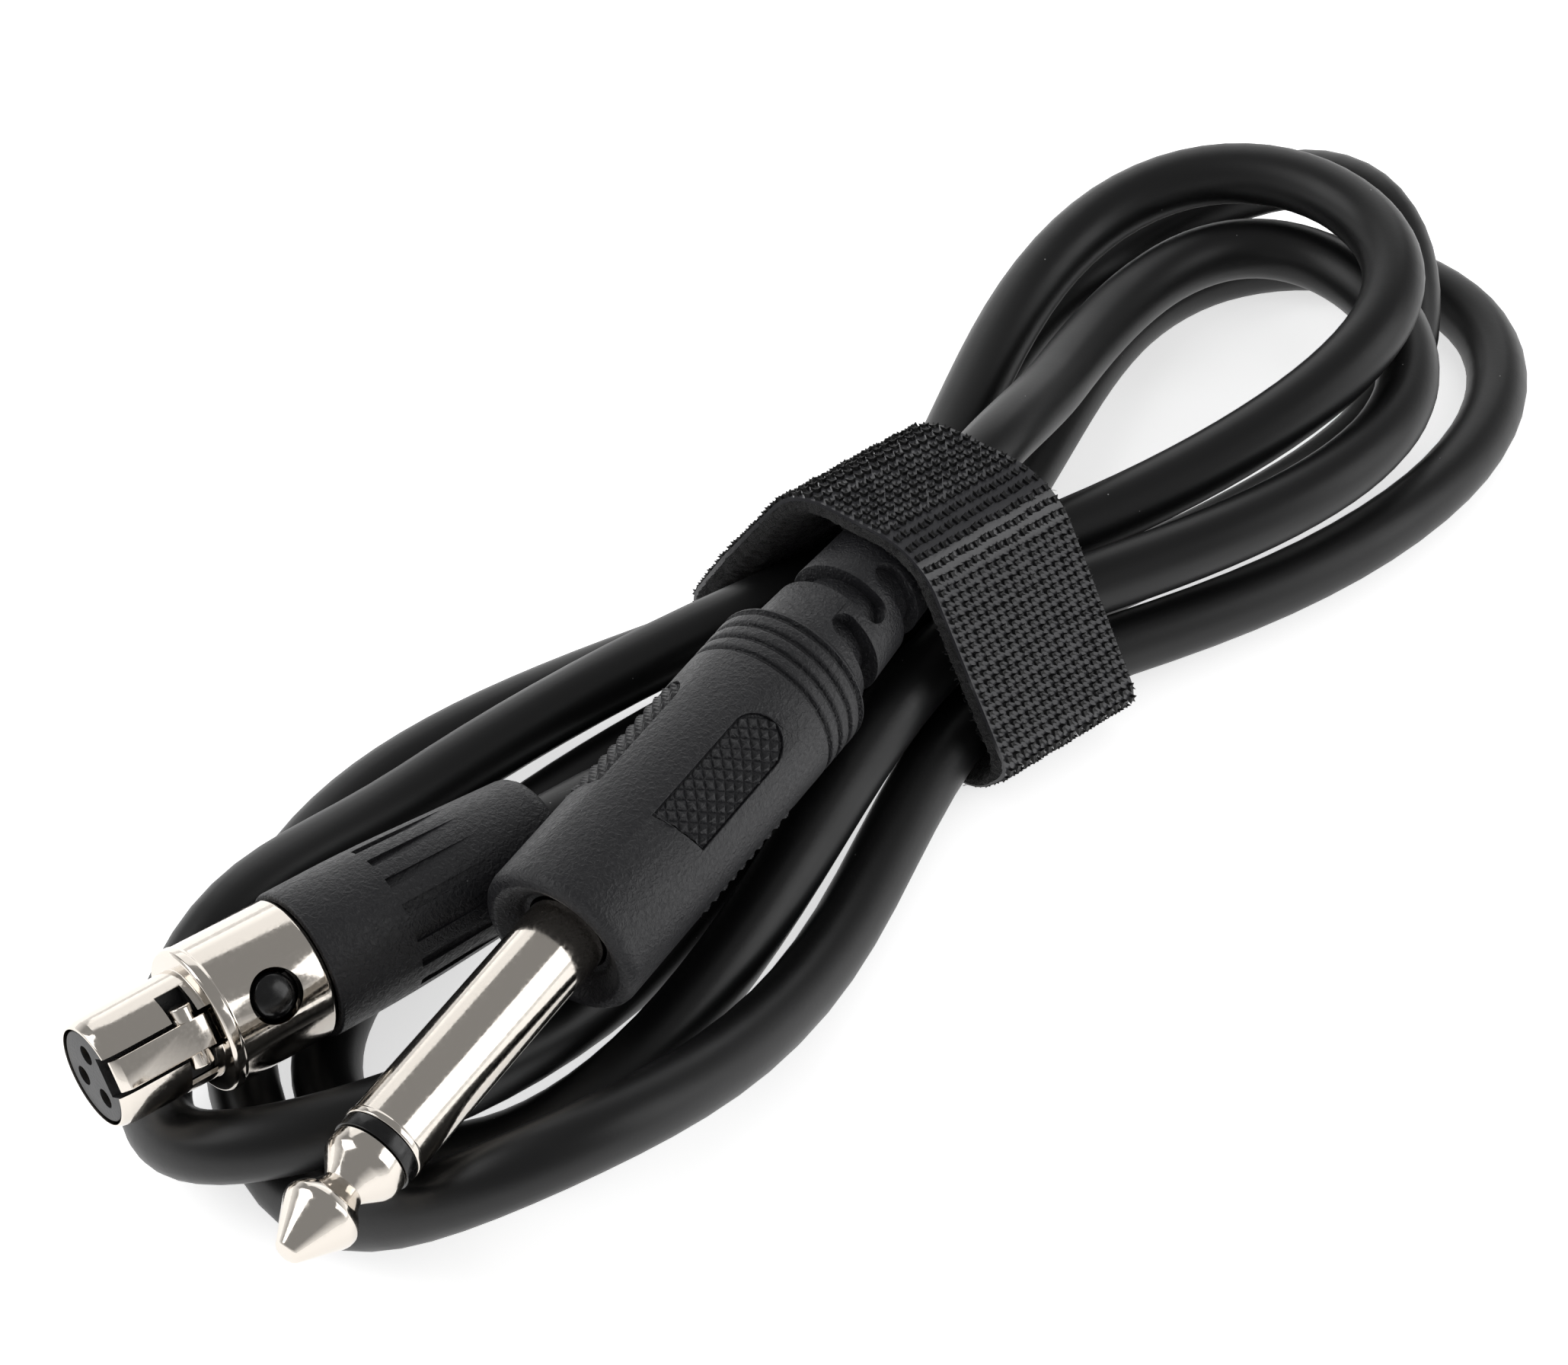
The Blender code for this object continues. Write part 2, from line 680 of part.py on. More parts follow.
def make_contact_insert():
    radius = nose_bore - fit_gap
    insert_profile = rod_profile(radius, insert_setback, insert_setback + insert_length)
    insert = turned("contact_insert", insert_profile, socket, hard_plastic)
    half = latch_width / 2 + latch_gap
    floor = bar_bottom - bar_travel - latch_gap
    bar_groove = block("bar_groove_cut", (floor, -half, -nose_round), (nose_diameter, half, step_end),
                       socket)
    ear_floor = ear_out - latch_ear_diameter / 2 - ear_travel - latch_gap
    ear_half = cross_slot_width / 2
    ear_groove = block("ear_groove_cut", (ear_floor, -cross_slot_reach, latch_ear_at - ear_half),
                       (nose_diameter, cross_slot_reach, latch_ear_at + ear_half), socket)
    holes = []
    for number in range(contact_count):
        profile = rod_profile(contact_hole_diameter / 2, -insert_length, insert_length * 2)
        name = f"contact_hole_cut_{number}"
        holes.append(turned(name, profile, socket, None, contact_place(number), steps=16))
    cut(insert, bar_groove, ear_groove, *holes)
    return insert


def make_contacts():
    outer = contact_diameter / 2
    inner = contact_bore / 2
    end = contact_setback + contact_length
    bottom = contact_setback + contact_bore_depth
    profile = [(0, end), (outer, end), (outer, contact_setback)]
    profile += [(inner, contact_setback), (inner, bottom), (0, bottom)]
    for number in range(contact_count):
        turned(f"contact_{number + 1}", profile, socket, brass, contact_place(number), steps=16)


def make_latch():
    """Bar in the nose, arm under the button, eye on the pin; its origin is on the pin."""
    front = latch_bar_start - pivot_at
    step = latch_bar_end - pivot_at
    top = latch_bar_top - pivot_out
    low = bar_bottom - pivot_out
    arm_top = latch_arm_top - pivot_out
    arm_low = arm_bottom - pivot_out
    heel = step - latch_bar_thickness
    outline = [(front, low), (heel, low), (heel, arm_low), (0, arm_low)]
    outline += [(0, arm_top), (step + latch_chamfer, arm_top), (step, top)]
    outline += [(front + latch_chamfer, top)]
    outline += [(front, top - latch_chamfer)]
    hinge = new_empty("latch_frame", socket)
    hinge.matrix_local = Matrix.Translation((pivot_out, 0, pivot_at))
    latch = plate("latch", outline, latch_width, hinge, nickel, side_view(0, 0))
    half = latch_width / 2
    eye_profile = rod_profile(pivot_eye_diameter / 2, -half, half)
    eye = turned("eye_join", eye_profile, hinge, None, crosswise(0, 0), steps=20)
    ears_profile = rod_profile(latch_ear_diameter / 2, -latch_ear_reach, latch_ear_reach)
    ears_place = crosswise(ear_out - pivot_out, latch_ear_at - pivot_at)
    ears = turned("ears_join", ears_profile, hinge, None, ears_place, steps=20)
    bore_profile = rod_profile(pin_diameter / 2 + pivot_gap, -latch_width, latch_width)
    bore = turned("pin_bore_cut", bore_profile, hinge, None, crosswise(0, 0), steps=20)
    join(latch, eye, ears)
    cut(latch, bore)
    spring_top = arm_low - fit_gap
    spring_end = -pivot_eye_diameter / 2 - fit_gap
    bend = spring_end - leaf_flat
    tip = spring_end - leaf_length
    leaf = [(tip, spring_top - leaf_drop), (tip, spring_top - leaf_drop - leaf_thickness)]
    leaf += [(bend, spring_top - leaf_thickness), (spring_end, spring_top - leaf_thickness)]
    leaf += [(spring_end, spring_top), (bend, spring_top)]
    plate("latch_spring", leaf, leaf_width, hinge, spring_steel, side_view(0, 0))
    reach = (shell_bore ** 2 - (pivot_out + pin_diameter / 2) ** 2) ** 0.5 - fit_gap
    turned("latch_pin", rod_profile(pin_diameter / 2, -reach, reach), socket, spring_steel,
           crosswise(pivot_out, pivot_at), steps=20)


def make_release_button():
    """Domed button; its foot lies on the latch's arm and keeps it in the shell."""
    radius = button_diameter / 2
    foot_low = latch_arm_top + fit_gap
    foot_top = foot_low + button_foot_thickness
    top = shell_radius + button_proud
    profile = arc_points((0, top - button_dome), radius, 90, 0, 4, button_dome)
    profile += [(radius, foot_low), (0, foot_low)]
    place = Matrix.Translation((0, 0, button_at)) @ Matrix.Rotation(pi / 2, 4, "Y")
    button = turned("release_button", profile, socket, button_plastic, place, steps=24)
    half = button_foot_length / 2
    foot = block("button_foot_join", (foot_low, -button_foot_width / 2, button_at - half),
                 (foot_top, button_foot_width / 2, button_at + half), socket)
    join(button, foot)
    return button


clamp_start = socket_cord_start
clamp_end = clamp_start + clamp_length
clamp_inner = cord_radius + cord_gap
clamp_outer = clamp_inner + clamp_wall


def make_cable_clamp():
    profile = tube_profile(clamp_inner, clamp_outer, clamp_start, clamp_end)
    return turned("cable_clamp", profile, socket, spring_steel, ring=True)


def make_socket_boot():
    radius = boot_diameter / 2
    end = boot_end_diameter / 2
    over_neck = neck_diameter / 2 + fit_gap
    over_clamp = clamp_outer + fit_gap
    bore = cord_radius + cord_gap
    taper_start = boot_start + boot_straight
    profile = [(bore, boot_end), (end - boot_end_round, boot_end)]
    round_middle = (end - boot_end_round, boot_end - boot_end_round)
    profile += arc_points(round_middle, boot_end_round, 90, 0, 4)[1:]
    profile += [(radius, taper_start), (radius, boot_start), (over_neck, boot_start)]
    neck_room = neck_end + fit_gap
    clamp_room = clamp_end + fit_gap
    profile += [(over_neck, neck_room), (over_clamp, neck_room), (over_clamp, clamp_room)]
    profile += [(bore, clamp_room)]
    boot = turned("socket_boot", profile, socket, soft_pvc, steps=48, ring=True)
    floor = radius - groove_depth
    half = groove_width / 2
    for number in range(groove_count):
        turn = Matrix.Rotation(2 * pi * (number + 0.5) / groove_count, 4, "Z")
        low = (floor, -half, taper_start)
        high = (radius + groove_depth, half, taper_start + groove_length)
        cut(boot, block(f"groove_cut_{number}", low, high, socket, None, turn))
    return boot


def make_socket_wires():
    """Core and shield, from the first two contacts to the cable's end."""
    start = contact_setback + contact_length + fit_gap
    end = socket_cord_start - cord_gap
    for number, name in enumerate(("socket_core", "socket_shield")):
        tail = contact_place(number).to_translation()
        goal = Vector((0, (0.5 - number) * 2 * wire_diameter * (1 if tail.y > 0 else -1), 0))
        route = []
        for i in range(wire_points):
            share = i / (wire_points - 1)
            ease = share * share * (3 - 2 * share)
            place = tail.lerp(goal, ease)
            route.append((place.x, place.y, start + (end - start) * share))
        cord(name, route, wire_diameter, socket, copper)


def bend_point(bend, angle):
    """A point on one bend of the hank, at an angle from 0 to pi round it."""
    (y_out, z_out), (y_back, z_back) = (waist[place] for place in bend["places"])
    turn = 1 if y_out > y_back else -1
    run = bend["reach"] * sin(angle) + bend["lean"] * sin(angle) * sin(2 * angle)
    ease = run / (run + waist_ease)
    x = bend["side"] * run
    bulge = turn * bend["spread"] * sin(2 * angle) + bend["drift"] * sin(angle)
    bulge += bend["sway"] * sin(angle) * cos(angle) ** 2
    y = (y_out + y_back) / 2 + (y_out - y_back) / 2 * cos(angle) + ease * bulge
    y += waist_skew * x / (1 + (x / skew_fade) ** 2)
    first = angle < pi / 2
    height = z_out if first else z_back
    fall = bend["fall"][0 if first else 1]
    z = bend["crest"] + (height - bend["crest"]) * abs(cos(angle)) ** (2 * fall)
    for climb, middle, half in bend.get("humps", ()):
        away = (angle - radians(middle)) / radians(half)
        if abs(away) < 1:
            z += climb * cos(pi * away / 2) ** 2
    return Vector((x, y, z))


def smooth_run(start, start_way, end, end_way, count):
    """Points on a smooth run between two places, leaving and arriving in given directions."""
    reach = (end - start).length
    points = []
    for i in range(1, count):
        share = i / count
        square = share * share
        cube = square * share
        ease = 3 * square - 2 * cube
        point = start * (1 - ease) + start_way * (reach * (cube - 2 * square + share))
        point += end * ease + end_way * (reach * (cube - square))
        points.append(point)
    return points


def cable_route():
    """The cable's middle line, from inside the plug, through the hank, to inside the socket."""
    plug_origin = Vector(plug_place)
    socket_origin = Vector(socket_place)
    leave = plug_origin + plug_axis * (relief_end + cord_diameter)
    points = [plug_origin + plug_axis * plug_cord_start, plug_origin + plug_axis * relief_end, leave]
    entry = radians(plug_entry_angle)
    first = bend_point(bends[0], entry)
    way = (bend_point(bends[0], entry + 0.001) - first).normalized()
    points += smooth_run(leave, plug_axis, first, way, lead_points)
    for number, bend in enumerate(bends):
        begin = entry if number == 0 else 0.0
        skip = 0 if number == 0 else 1
        for i in range(skip, points_per_bend + 1):
            points.append(bend_point(bend, begin + (pi - begin) * i / points_per_bend))
    last = points[-1]
    way = (last - bend_point(bends[-1], pi - 0.001)).normalized()
    arrive = socket_origin + socket_axis * (boot_end + cord_diameter)
    tail = smooth_run(last, way, arrive, -socket_axis, tail_points)
    for number, point in enumerate(tail):
        amount = sin(pi * ((number + 1) / tail_points) ** 2) ** 2
        points.append(point + Vector((0, tail_swing, -tail_sag)) * amount)
    points += [arrive, socket_origin + socket_axis * boot_end]
    points += [socket_origin + socket_axis * socket_cord_start]
    return points


def segment_gap(a, b, c, d):
    """Least distance between two straight runs."""
    first = b - a
    second = d - c
    between = a - c
    aa = first.dot(first)
    bb = second.dot(second)
    ab = first.dot(second)
    spread = aa * bb - ab * ab
    s = 0.0
    if spread > 1e-18:
        s = min(1.0, max(0.0, (ab * second.dot(between) - bb * first.dot(between)) / spread))
    t = min(1.0, max(0.0, (ab * s + second.dot(between)) / bb))
    s = min(1.0, max(0.0, (ab * t - first.dot(between)) / aa))
    return (a + first * s - c - second * t).length


def print_cable_facts(points):
    along = [0.0]
    for a, b in zip(points, points[1:]):
        along.append(along[-1] + (b - a).length)
    least = 1.0
    for i in range(len(points) - 1):
        for j in range(i + 1, len(points) - 1):
            if along[j] - along[i + 1] > 3 * cord_diameter:
                least = min(least, segment_gap(points[i], points[i + 1], points[j], points[j + 1]))
    gap = least - cord_diameter
    print(f"cable: {along[-1]:.4f} m long, {len(points)} points, least gap to itself {gap:.5f} m")


def make_cable(points):
    cable = as_mesh(cord("cable", points, cord_diameter, hank, cord_pvc, resolution=1))
    reach = max(point.length for point in points) + cord_diameter
    floor = block("floor_cut", (-reach, -reach, -cord_diameter), (reach, reach, 0), hank)
    cut(cable, floor)
    return cable


def relief_radius(along):
    """The strain relief's radius at a place on the plug's axis."""
    waist_at = body_end + relief_waist_at
    if along > waist_at:
        share = (along - waist_at) / (relief_end - waist_at)
        return (relief_waist_diameter + (relief_end_diameter - relief_waist_diameter) * share) / 2
    share = (along - body_end) / relief_waist_at
    return (relief_diameter + (relief_waist_diameter - relief_diameter) * share) / 2


def waist_circles(points, x):
    """Circles of the strands, and of the strain relief, where they cross a plane square to X."""
    circles = []
    for a, b in zip(points, points[1:]):
        if (a.x - x) * (b.x - x) <= 0 and a.x != b.x:
            crossing = a.lerp(b, (x - a.x) / (b.x - a.x))
            circles.append((crossing.y, crossing.z, cord_radius))
    along = min((x - plug_place[0]) / plug_axis.x, relief_end)
    place = Vector(plug_place) + plug_axis * along
    circles.append((place.y, place.z, relief_radius(along)))
    return circles


def turn_points(count):
    """Unit vectors round a full turn."""
    return [Vector((cos(2 * pi * i / count), sin(2 * pi * i / count))) for i in range(count)]


def strap_ring(circles, middle, pressed, full):
    """One face of the strap, taut round the circles, as points on rays out from a middle."""
    planes = []
    for out in turn_points(strap_facets):
        hold = max(y * out.x + z * out.y + radius for y, z, radius in circles)
        rise = min(1.0, max(0.0, 1 + out.y / strap_press_fade))
        layer = pressed + (full - pressed) * rise
        planes.append((out, hold + strap_gap + layer - middle.dot(out)))
    ring = []
    for way in turn_points(strap_directions):
        reach = min(room / way.dot(out) for out, room in planes if way.dot(out) > strap_least_facing)
        place = middle + way * reach
        ring.append((place.x, max(place.y, strap_pressed - pressed)))
    return ring


def make_strap(points):
    """A band lofted along X between its outlines, which follow the strands in it."""
    mesh = bpy.data.meshes.new("strap")
    shape = bmesh.new()
    rings = []
    middle = Vector(waist["upper middle"])
    for station in range(strap_stations):
        x = strap_middle + strap_width * station / (strap_stations - 1) - strap_width / 2
        circles = waist_circles(points, x)
        inner = strap_ring(circles, middle, 0.0, 0.0)
        outer = strap_ring(circles, middle, strap_pressed, strap_thickness)
        rings.append(([shape.verts.new((x, *place)) for place in inner],
                      [shape.verts.new((x, *place)) for place in outer]))
    loops = [inner for inner, outer in rings] + [outer for inner, outer in reversed(rings)]
    for first, second in zip(loops, loops[1:] + loops[:1]):
        for i in range(strap_directions):
            j = (i + 1) % strap_directions
            shape.faces.new((first[i], first[j], second[j], second[i]))
    bmesh.ops.remove_doubles(shape, verts=shape.verts, dist=0.0000001)
    bmesh.ops.recalc_face_normals(shape, faces=shape.faces)
    shape.to_mesh(mesh)
    shape.free()
    return add_object("strap", mesh, hank, strap_fabric)


def centre_hank():
    """Moves the whole so that its origin is under the middle of its box."""
    bpy.context.view_layer.update()
    graph = bpy.context.evaluated_depsgraph_get()
    corners = []
    for thing in parts.objects:
        if thing.type != "EMPTY":
            shown = thing.evaluated_get(graph)
            mesh = shown.to_mesh()
            corners += [shown.matrix_world @ vertex.co for vertex in mesh.vertices]
            shown.to_mesh_clear()
    low = [min(corner[i] for corner in corners) for i in range(3)]
    high = [max(corner[i] for corner in corners) for i in range(3)]
    hank.location = (-(low[0] + high[0]) / 2, -(low[1] + high[1]) / 2, 0)
    bpy.context.view_layer.update()
    print("box", [round(high[i] - low[i], 5) for i in range(3)], "lowest", round(low[2], 6))


def print_place(name, frame, place, way):
    """Prints a point and a direction of a connector's frame in world terms."""
    point = frame.matrix_world @ Vector(place)
    direction = frame.matrix_world.to_3x3() @ Vector(way)
    print(name, [round(v, 6) for v in point], [round(v, 6) for v in direction])


make_plug_tip()
make_tip_insulator()
make_plug_sleeve()
make_rear_bush()
make_tags()
make_inner_mould()
make_plug_body()
make_plug_wires()
make_socket_shell()
make_contact_insert()
make_contacts()
make_latch()
make_release_button()
make_cable_clamp()
make_socket_boot()
make_socket_wires()
route = cable_route()
print_cable_facts(route)
make_cable(route)
make_strap(route)
centre_hank()
print_place("rest", hank, (0, 0, 0), (0, 0, -1))
rim_middle = (recess_diameter / 2 + body_radius - body_edge) / 2
print_place("plug face", plug, (rim_middle, 0, sleeve_length), (0, 0, -1))
print_place("socket face", socket, (0, 0, insert_setback), (0, 0, -1))
print_place("latch pin", socket, (pivot_out, 0, pivot_at), (0, 1, 0))
print_place("button", socket, (shell_radius, 0, button_at), (-1, 0, 0))
print("latch turn per metre of button", round(1 / (pivot_at - button_at), 3))
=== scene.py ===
import json
import random
from math import cos, pi, radians, sin, tan
import bmesh
import bpy
from mathutils import Matrix, Vector
from mathutils.geometry import convex_hull_2d


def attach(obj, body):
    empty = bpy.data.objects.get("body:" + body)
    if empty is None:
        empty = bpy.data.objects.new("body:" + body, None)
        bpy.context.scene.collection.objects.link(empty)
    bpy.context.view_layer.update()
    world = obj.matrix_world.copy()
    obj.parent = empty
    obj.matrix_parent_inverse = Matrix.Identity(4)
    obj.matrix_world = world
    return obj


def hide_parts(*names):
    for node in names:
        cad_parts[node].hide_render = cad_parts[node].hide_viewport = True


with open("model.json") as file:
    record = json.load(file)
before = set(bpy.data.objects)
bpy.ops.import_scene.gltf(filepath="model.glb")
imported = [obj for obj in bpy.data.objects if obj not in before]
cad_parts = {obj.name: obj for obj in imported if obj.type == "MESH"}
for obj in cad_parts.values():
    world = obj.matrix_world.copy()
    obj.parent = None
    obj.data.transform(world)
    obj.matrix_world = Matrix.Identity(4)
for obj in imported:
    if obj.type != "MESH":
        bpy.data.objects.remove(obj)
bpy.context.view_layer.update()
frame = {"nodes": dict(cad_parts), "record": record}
mm = 0.001
scene = bpy.context.scene
scene.view_settings.view_transform = "Standard"
mounts = {mount["name"]: mount for mount in frame["record"]["mounts"]}
hankPlace = Vector(mounts["rest"]["pos_m"])     # middle of the hank's waist, on the table


def hexLinear(code):
    parts = [int(code[i:i + 2], 16) / 255 for i in (1, 3, 5)]
    return tuple(c / 12.92 if c <= 0.04045 else ((c + 0.055) / 1.055) ** 2.4 for c in parts) + (1.0,)


def addNode(tree, kind, inputs=None, **settings):
    node = tree.nodes.new(kind)
    for name, value in settings.items():
        setattr(node, name, value)
    for socket, value in (inputs or {}).items():
        if isinstance(value, bpy.types.NodeSocket):
            tree.links.new(value, node.inputs[socket])
        else:
            node.inputs[socket].default_value = value
    return node


def newMaterial(name, **sockets):
    material = bpy.data.materials.new(name)
    material.use_nodes = True
    shader = material.node_tree.nodes["Principled BSDF"]
    for socket, value in sockets.items():
        shader.inputs[socket.replace("_", " ")].default_value = value
    return material, material.node_tree, shader


# Camera: the photograph's view, from the connectors' end and 46 degrees above the table
view = {"place": (-0.1583, -0.1325, 0.2119), "target": (-0.0086, 0.0070, 0.0), "lens": 82.18, "sensor": 36.0}
camera = bpy.data.objects.new("camera", bpy.data.cameras.new("camera"))
scene.collection.objects.link(camera)
camera.data.lens = view["lens"]
camera.data.sensor_width = view["sensor"]
camera.data.sensor_fit = "HORIZONTAL"
camera.data.clip_start = 0.01
camera.location = Vector(view["place"]) + hankPlace
looking = Vector(view["target"]) - Vector(view["place"])
camera.rotation_euler = looking.to_track_quat("-Z", "Y").to_euler()
scene.camera = camera
print("camera set")


def aim(heading, rise):
    level = cos(radians(rise))
    return Vector((level * cos(radians(heading)), level * sin(radians(heading)), sin(radians(rise))))


def axisFrame(place, axis, roll):
    upright = Vector((0, 0, 1)) - axis * axis.z
    upright.normalize()
    beside = axis.cross(upright)
    facing = upright * cos(radians(roll)) + beside * sin(radians(roll))
    turn = Matrix((facing, axis.cross(facing), axis)).transposed()
    return Matrix.Translation(hankPlace + place) @ turn.to_4x4()


# Where the two connectors lie; each is made along its own Z, which runs back to its cable
plugLie = {"place": Vector((-0.06965, -0.0124, 0.0146)), "heading": 10.0, "rise": 1.5, "roll": 39.0}
socketLie = {"place": Vector((-0.0787, 0.00773, 0.0129)), "heading": -7.15, "rise": -3.82, "roll": 50.0}
plugAxis = aim(plugLie["heading"], plugLie["rise"])
socketAxis = aim(socketLie["heading"], socketLie["rise"])
plugFrame = axisFrame(plugLie["place"], plugAxis, plugLie["roll"])
socketFrame = axisFrame(socketLie["place"], socketAxis, socketLie["roll"])

# Cable: one length, folded to and fro through the waist
cordDiameter = 0.0053
cordRadius = cordDiameter / 2
lyingHeight = cordRadius - cordDiameter / 10
pitch = 0.006
underStrap = 0.0009     # the strap's thickness where the hank presses on it
strapGap = 0.00025
rowRise = 0.005
lowerRow = underStrap + strapGap + cordRadius
upperRow = lowerRow + rowRise
cable = {"pointsPerBend": 60, "sides": 10, "plugStart": 0.0505, "reliefEnd": 0.074, "bootEnd": 0.039,
         "socketStart": 0.0228, "entryAngle": 26.0, "leadPoints": 16, "tailPoints": 24, "sag": 0.0036,
         "swing": 0.0006, "ease": 0.0123, "skew": -0.15, "skewFade": 0.03}
waist = {
    "relief": (0.0, plugLie["place"].z - plugLie["place"].x * tan(radians(plugLie["rise"]))),
    "upper left": (pitch, upperRow),
    "upper middle": (0.0, upperRow),
    "upper right": (-pitch, upperRow),
    "lower far left": (1.5 * pitch, lowerRow),
    "lower left": (0.5 * pitch, lowerRow),
    "lower right": (-0.5 * pitch, lowerRow),
    "lower far right": (-1.5 * pitch, lowerRow),
}
bends = (
    {"side": 1, "places": ("relief", "upper right"),
     "reach": 0.0530, "spread": 0.0147, "drift": 0.0021, "lean": 0.0017, "sway": -0.0016,
     "crest": 0.0114, "fall": (4.0, 4.0)},
    {"side": -1, "places": ("upper right", "lower left"),
     "reach": 0.0644, "spread": 0.0110, "drift": -0.0017, "lean": 0.0024, "sway": -0.0067,
     "crest": lyingHeight, "fall": (1.9, 1.0)},
    {"side": 1, "places": ("lower left", "lower far right"),
     "reach": 0.0645, "spread": 0.0149, "drift": 0.0099, "lean": -0.0082, "sway": -0.0126,
     "crest": lyingHeight, "fall": (1.0, 1.0)},
    {"side": -1, "places": ("lower far right", "lower far left"),
     "reach": 0.0686, "spread": 0.0182, "drift": 0.0030, "lean": 0.0101, "sway": -0.0127,
     "crest": lyingHeight, "fall": (1.0, 1.0), "humps": ((0.0093, 50, 33),)},
    {"side": 1, "places": ("lower far left", "lower right"),
     "reach": 0.0629, "spread": 0.0146, "drift": 0.0012, "lean": 0.0021, "sway": 0.0094,
     "crest": lyingHeight, "fall": (1.0, 1.0), "humps": ((0.0095, 88, 45),)},
    {"side": -1, "places": ("lower right", "upper left"),
     "reach": 0.0749, "spread": 0.0109, "drift": 0.0037, "lean": 0.0043, "sway": -0.0062,
     "crest": 0.0046, "fall": (1.0, 1.6), "humps": ((0.0046, 61, 37), (0.0032, 122, 23))},
    {"side": 1, "places": ("upper left", "upper middle"),
     "reach": 0.0541, "spread": 0.0159, "drift": -0.0043, "lean": 0.0038, "sway": 0.0131,
     "crest": 0.0175, "fall": (1.1, 1.5)},
)


def bendPoint(bend, angle):
    (yOut, zOut), (yBack, zBack) = (waist[place] for place in bend["places"])
    turn = 1 if yOut > yBack else -1
    run = bend["reach"] * sin(angle) + bend["lean"] * sin(angle) * sin(2 * angle)
    ease = run / (run + cable["ease"])
    x = bend["side"] * run
    bulge = turn * bend["spread"] * sin(2 * angle) + bend["drift"] * sin(angle)
    bulge += bend["sway"] * sin(angle) * cos(angle) ** 2
    y = (yOut + yBack) / 2 + (yOut - yBack) / 2 * cos(angle) + ease * bulge
    y += cable["skew"] * x / (1 + (x / cable["skewFade"]) ** 2)
    first = angle < pi / 2
    height = zOut if first else zBack
    fall = bend["fall"][0 if first else 1]
    z = bend["crest"] + (height - bend["crest"]) * abs(cos(angle)) ** (2 * fall)
    for climb, middle, half in bend.get("humps", ()):
        away = (angle - radians(middle)) / radians(half)
        if abs(away) < 1:
            z += climb * cos(pi * away / 2) ** 2
    return Vector((x, y, z))


def smoothRun(start, startWay, end, endWay, count):
    reach = (end - start).length
    points = []
    for i in range(1, count):
        share = i / count
        square = share * share
        cube = square * share
        point = start * (2 * cube - 3 * square + 1) + startWay * (reach * (cube - 2 * square + share))
        point += end * (3 * square - 2 * cube) + endWay * (reach * (cube - square))
        points.append(point)
    return points


def cableRoute():
    plugOrigin = plugLie["place"]
    socketOrigin = socketLie["place"]
    leave = plugOrigin + plugAxis * (cable["reliefEnd"] + cordDiameter)
    points = [plugOrigin + plugAxis * cable["plugStart"], plugOrigin + plugAxis * cable["reliefEnd"], leave]
    entry = radians(cable["entryAngle"])
    first = bendPoint(bends[0], entry)
    way = (bendPoint(bends[0], entry + 0.001) - first).normalized()
    points += smoothRun(leave, plugAxis, first, way, cable["leadPoints"])
    for number, bend in enumerate(bends):
        begin = entry if number == 0 else 0.0
        skip = 0 if number == 0 else 1
        for i in range(skip, cable["pointsPerBend"] + 1):
            points.append(bendPoint(bend, begin + (pi - begin) * i / cable["pointsPerBend"]))
    last = points[-1]
    way = (last - bendPoint(bends[-1], pi - 0.001)).normalized()
    arrive = socketOrigin + socketAxis * (cable["bootEnd"] + cordDiameter)
    tail = smoothRun(last, way, arrive, -socketAxis, cable["tailPoints"])
    for number, point in enumerate(tail):
        amount = sin(pi * ((number + 1) / cable["tailPoints"]) ** 2) ** 2
        points.append(point + Vector((0, cable["swing"], -cable["sag"])) * amount)
    points += [arrive, socketOrigin + socketAxis * cable["bootEnd"],
               socketOrigin + socketAxis * cable["socketStart"]]
    return points


def addGrain(tree, size, detail, **more):
    place = addNode(tree, "ShaderNodeTexCoord").outputs["Object"]
    return addNode(tree, "ShaderNodeTexNoise", {"Vector": place, "Scale": 1 / (size * mm), "Detail": detail,
                                                **more}).outputs["Fac"]


def addRelief(tree, shader, height, strength, depth):
    bump = addNode(tree, "ShaderNodeBump", {"Strength": strength, "Distance": depth * mm, "Height": height})
    tree.links.new(bump.outputs["Normal"], shader.inputs["Normal"])


def addDull(tree, shader, value, low, high, first, last):
    span = addNode(tree, "ShaderNodeMapRange", {"Value": value, "From Min": low, "From Max": high,
                                                "To Min": first, "To Max": last})
    tree.links.new(span.outputs["Result"], shader.inputs["Roughness"])


def addDust(tree, shader, colour, spacing, share):
    # Lint and dust: a few pale specks, drawn about twice their real size so that they show
    place = addNode(tree, "ShaderNodeTexCoord").outputs["Object"]
    cells = addNode(tree, "ShaderNodeTexVoronoi", {"Vector": place, "Scale": 1 / (spacing * mm)})
    speck = addNode(tree, "ShaderNodeMapRange", {"Value": cells.outputs["Distance"], "From Min": share * 0.6,
                                                 "From Max": share, "To Min": 1.0, "To Max": 0.0})
    mixed = addNode(tree, "ShaderNodeMix", {"Factor": speck.outputs["Result"], "A": hexLinear(colour),
                                            "B": hexLinear("#8f8f8f")}, data_type="RGBA")
    tree.links.new(mixed.outputs["Result"], shader.inputs["Base Color"])


# Flexible PVC, extruded and wiped: black, satin, with a faint haze in its highlights and some dust
cordPvc, tree, shader = newMaterial("extrudedPvc", Roughness=0.4, IOR=1.45)
addDust(tree, shader, "#0b0b0c", 2.4, 0.03)
addDull(tree, shader, addGrain(tree, 100 / 9, 3.0), 0.3, 0.7, 0.36, 0.46)
addRelief(tree, shader, addGrain(tree, 0.35, 2.0), 0.15, 0.04)

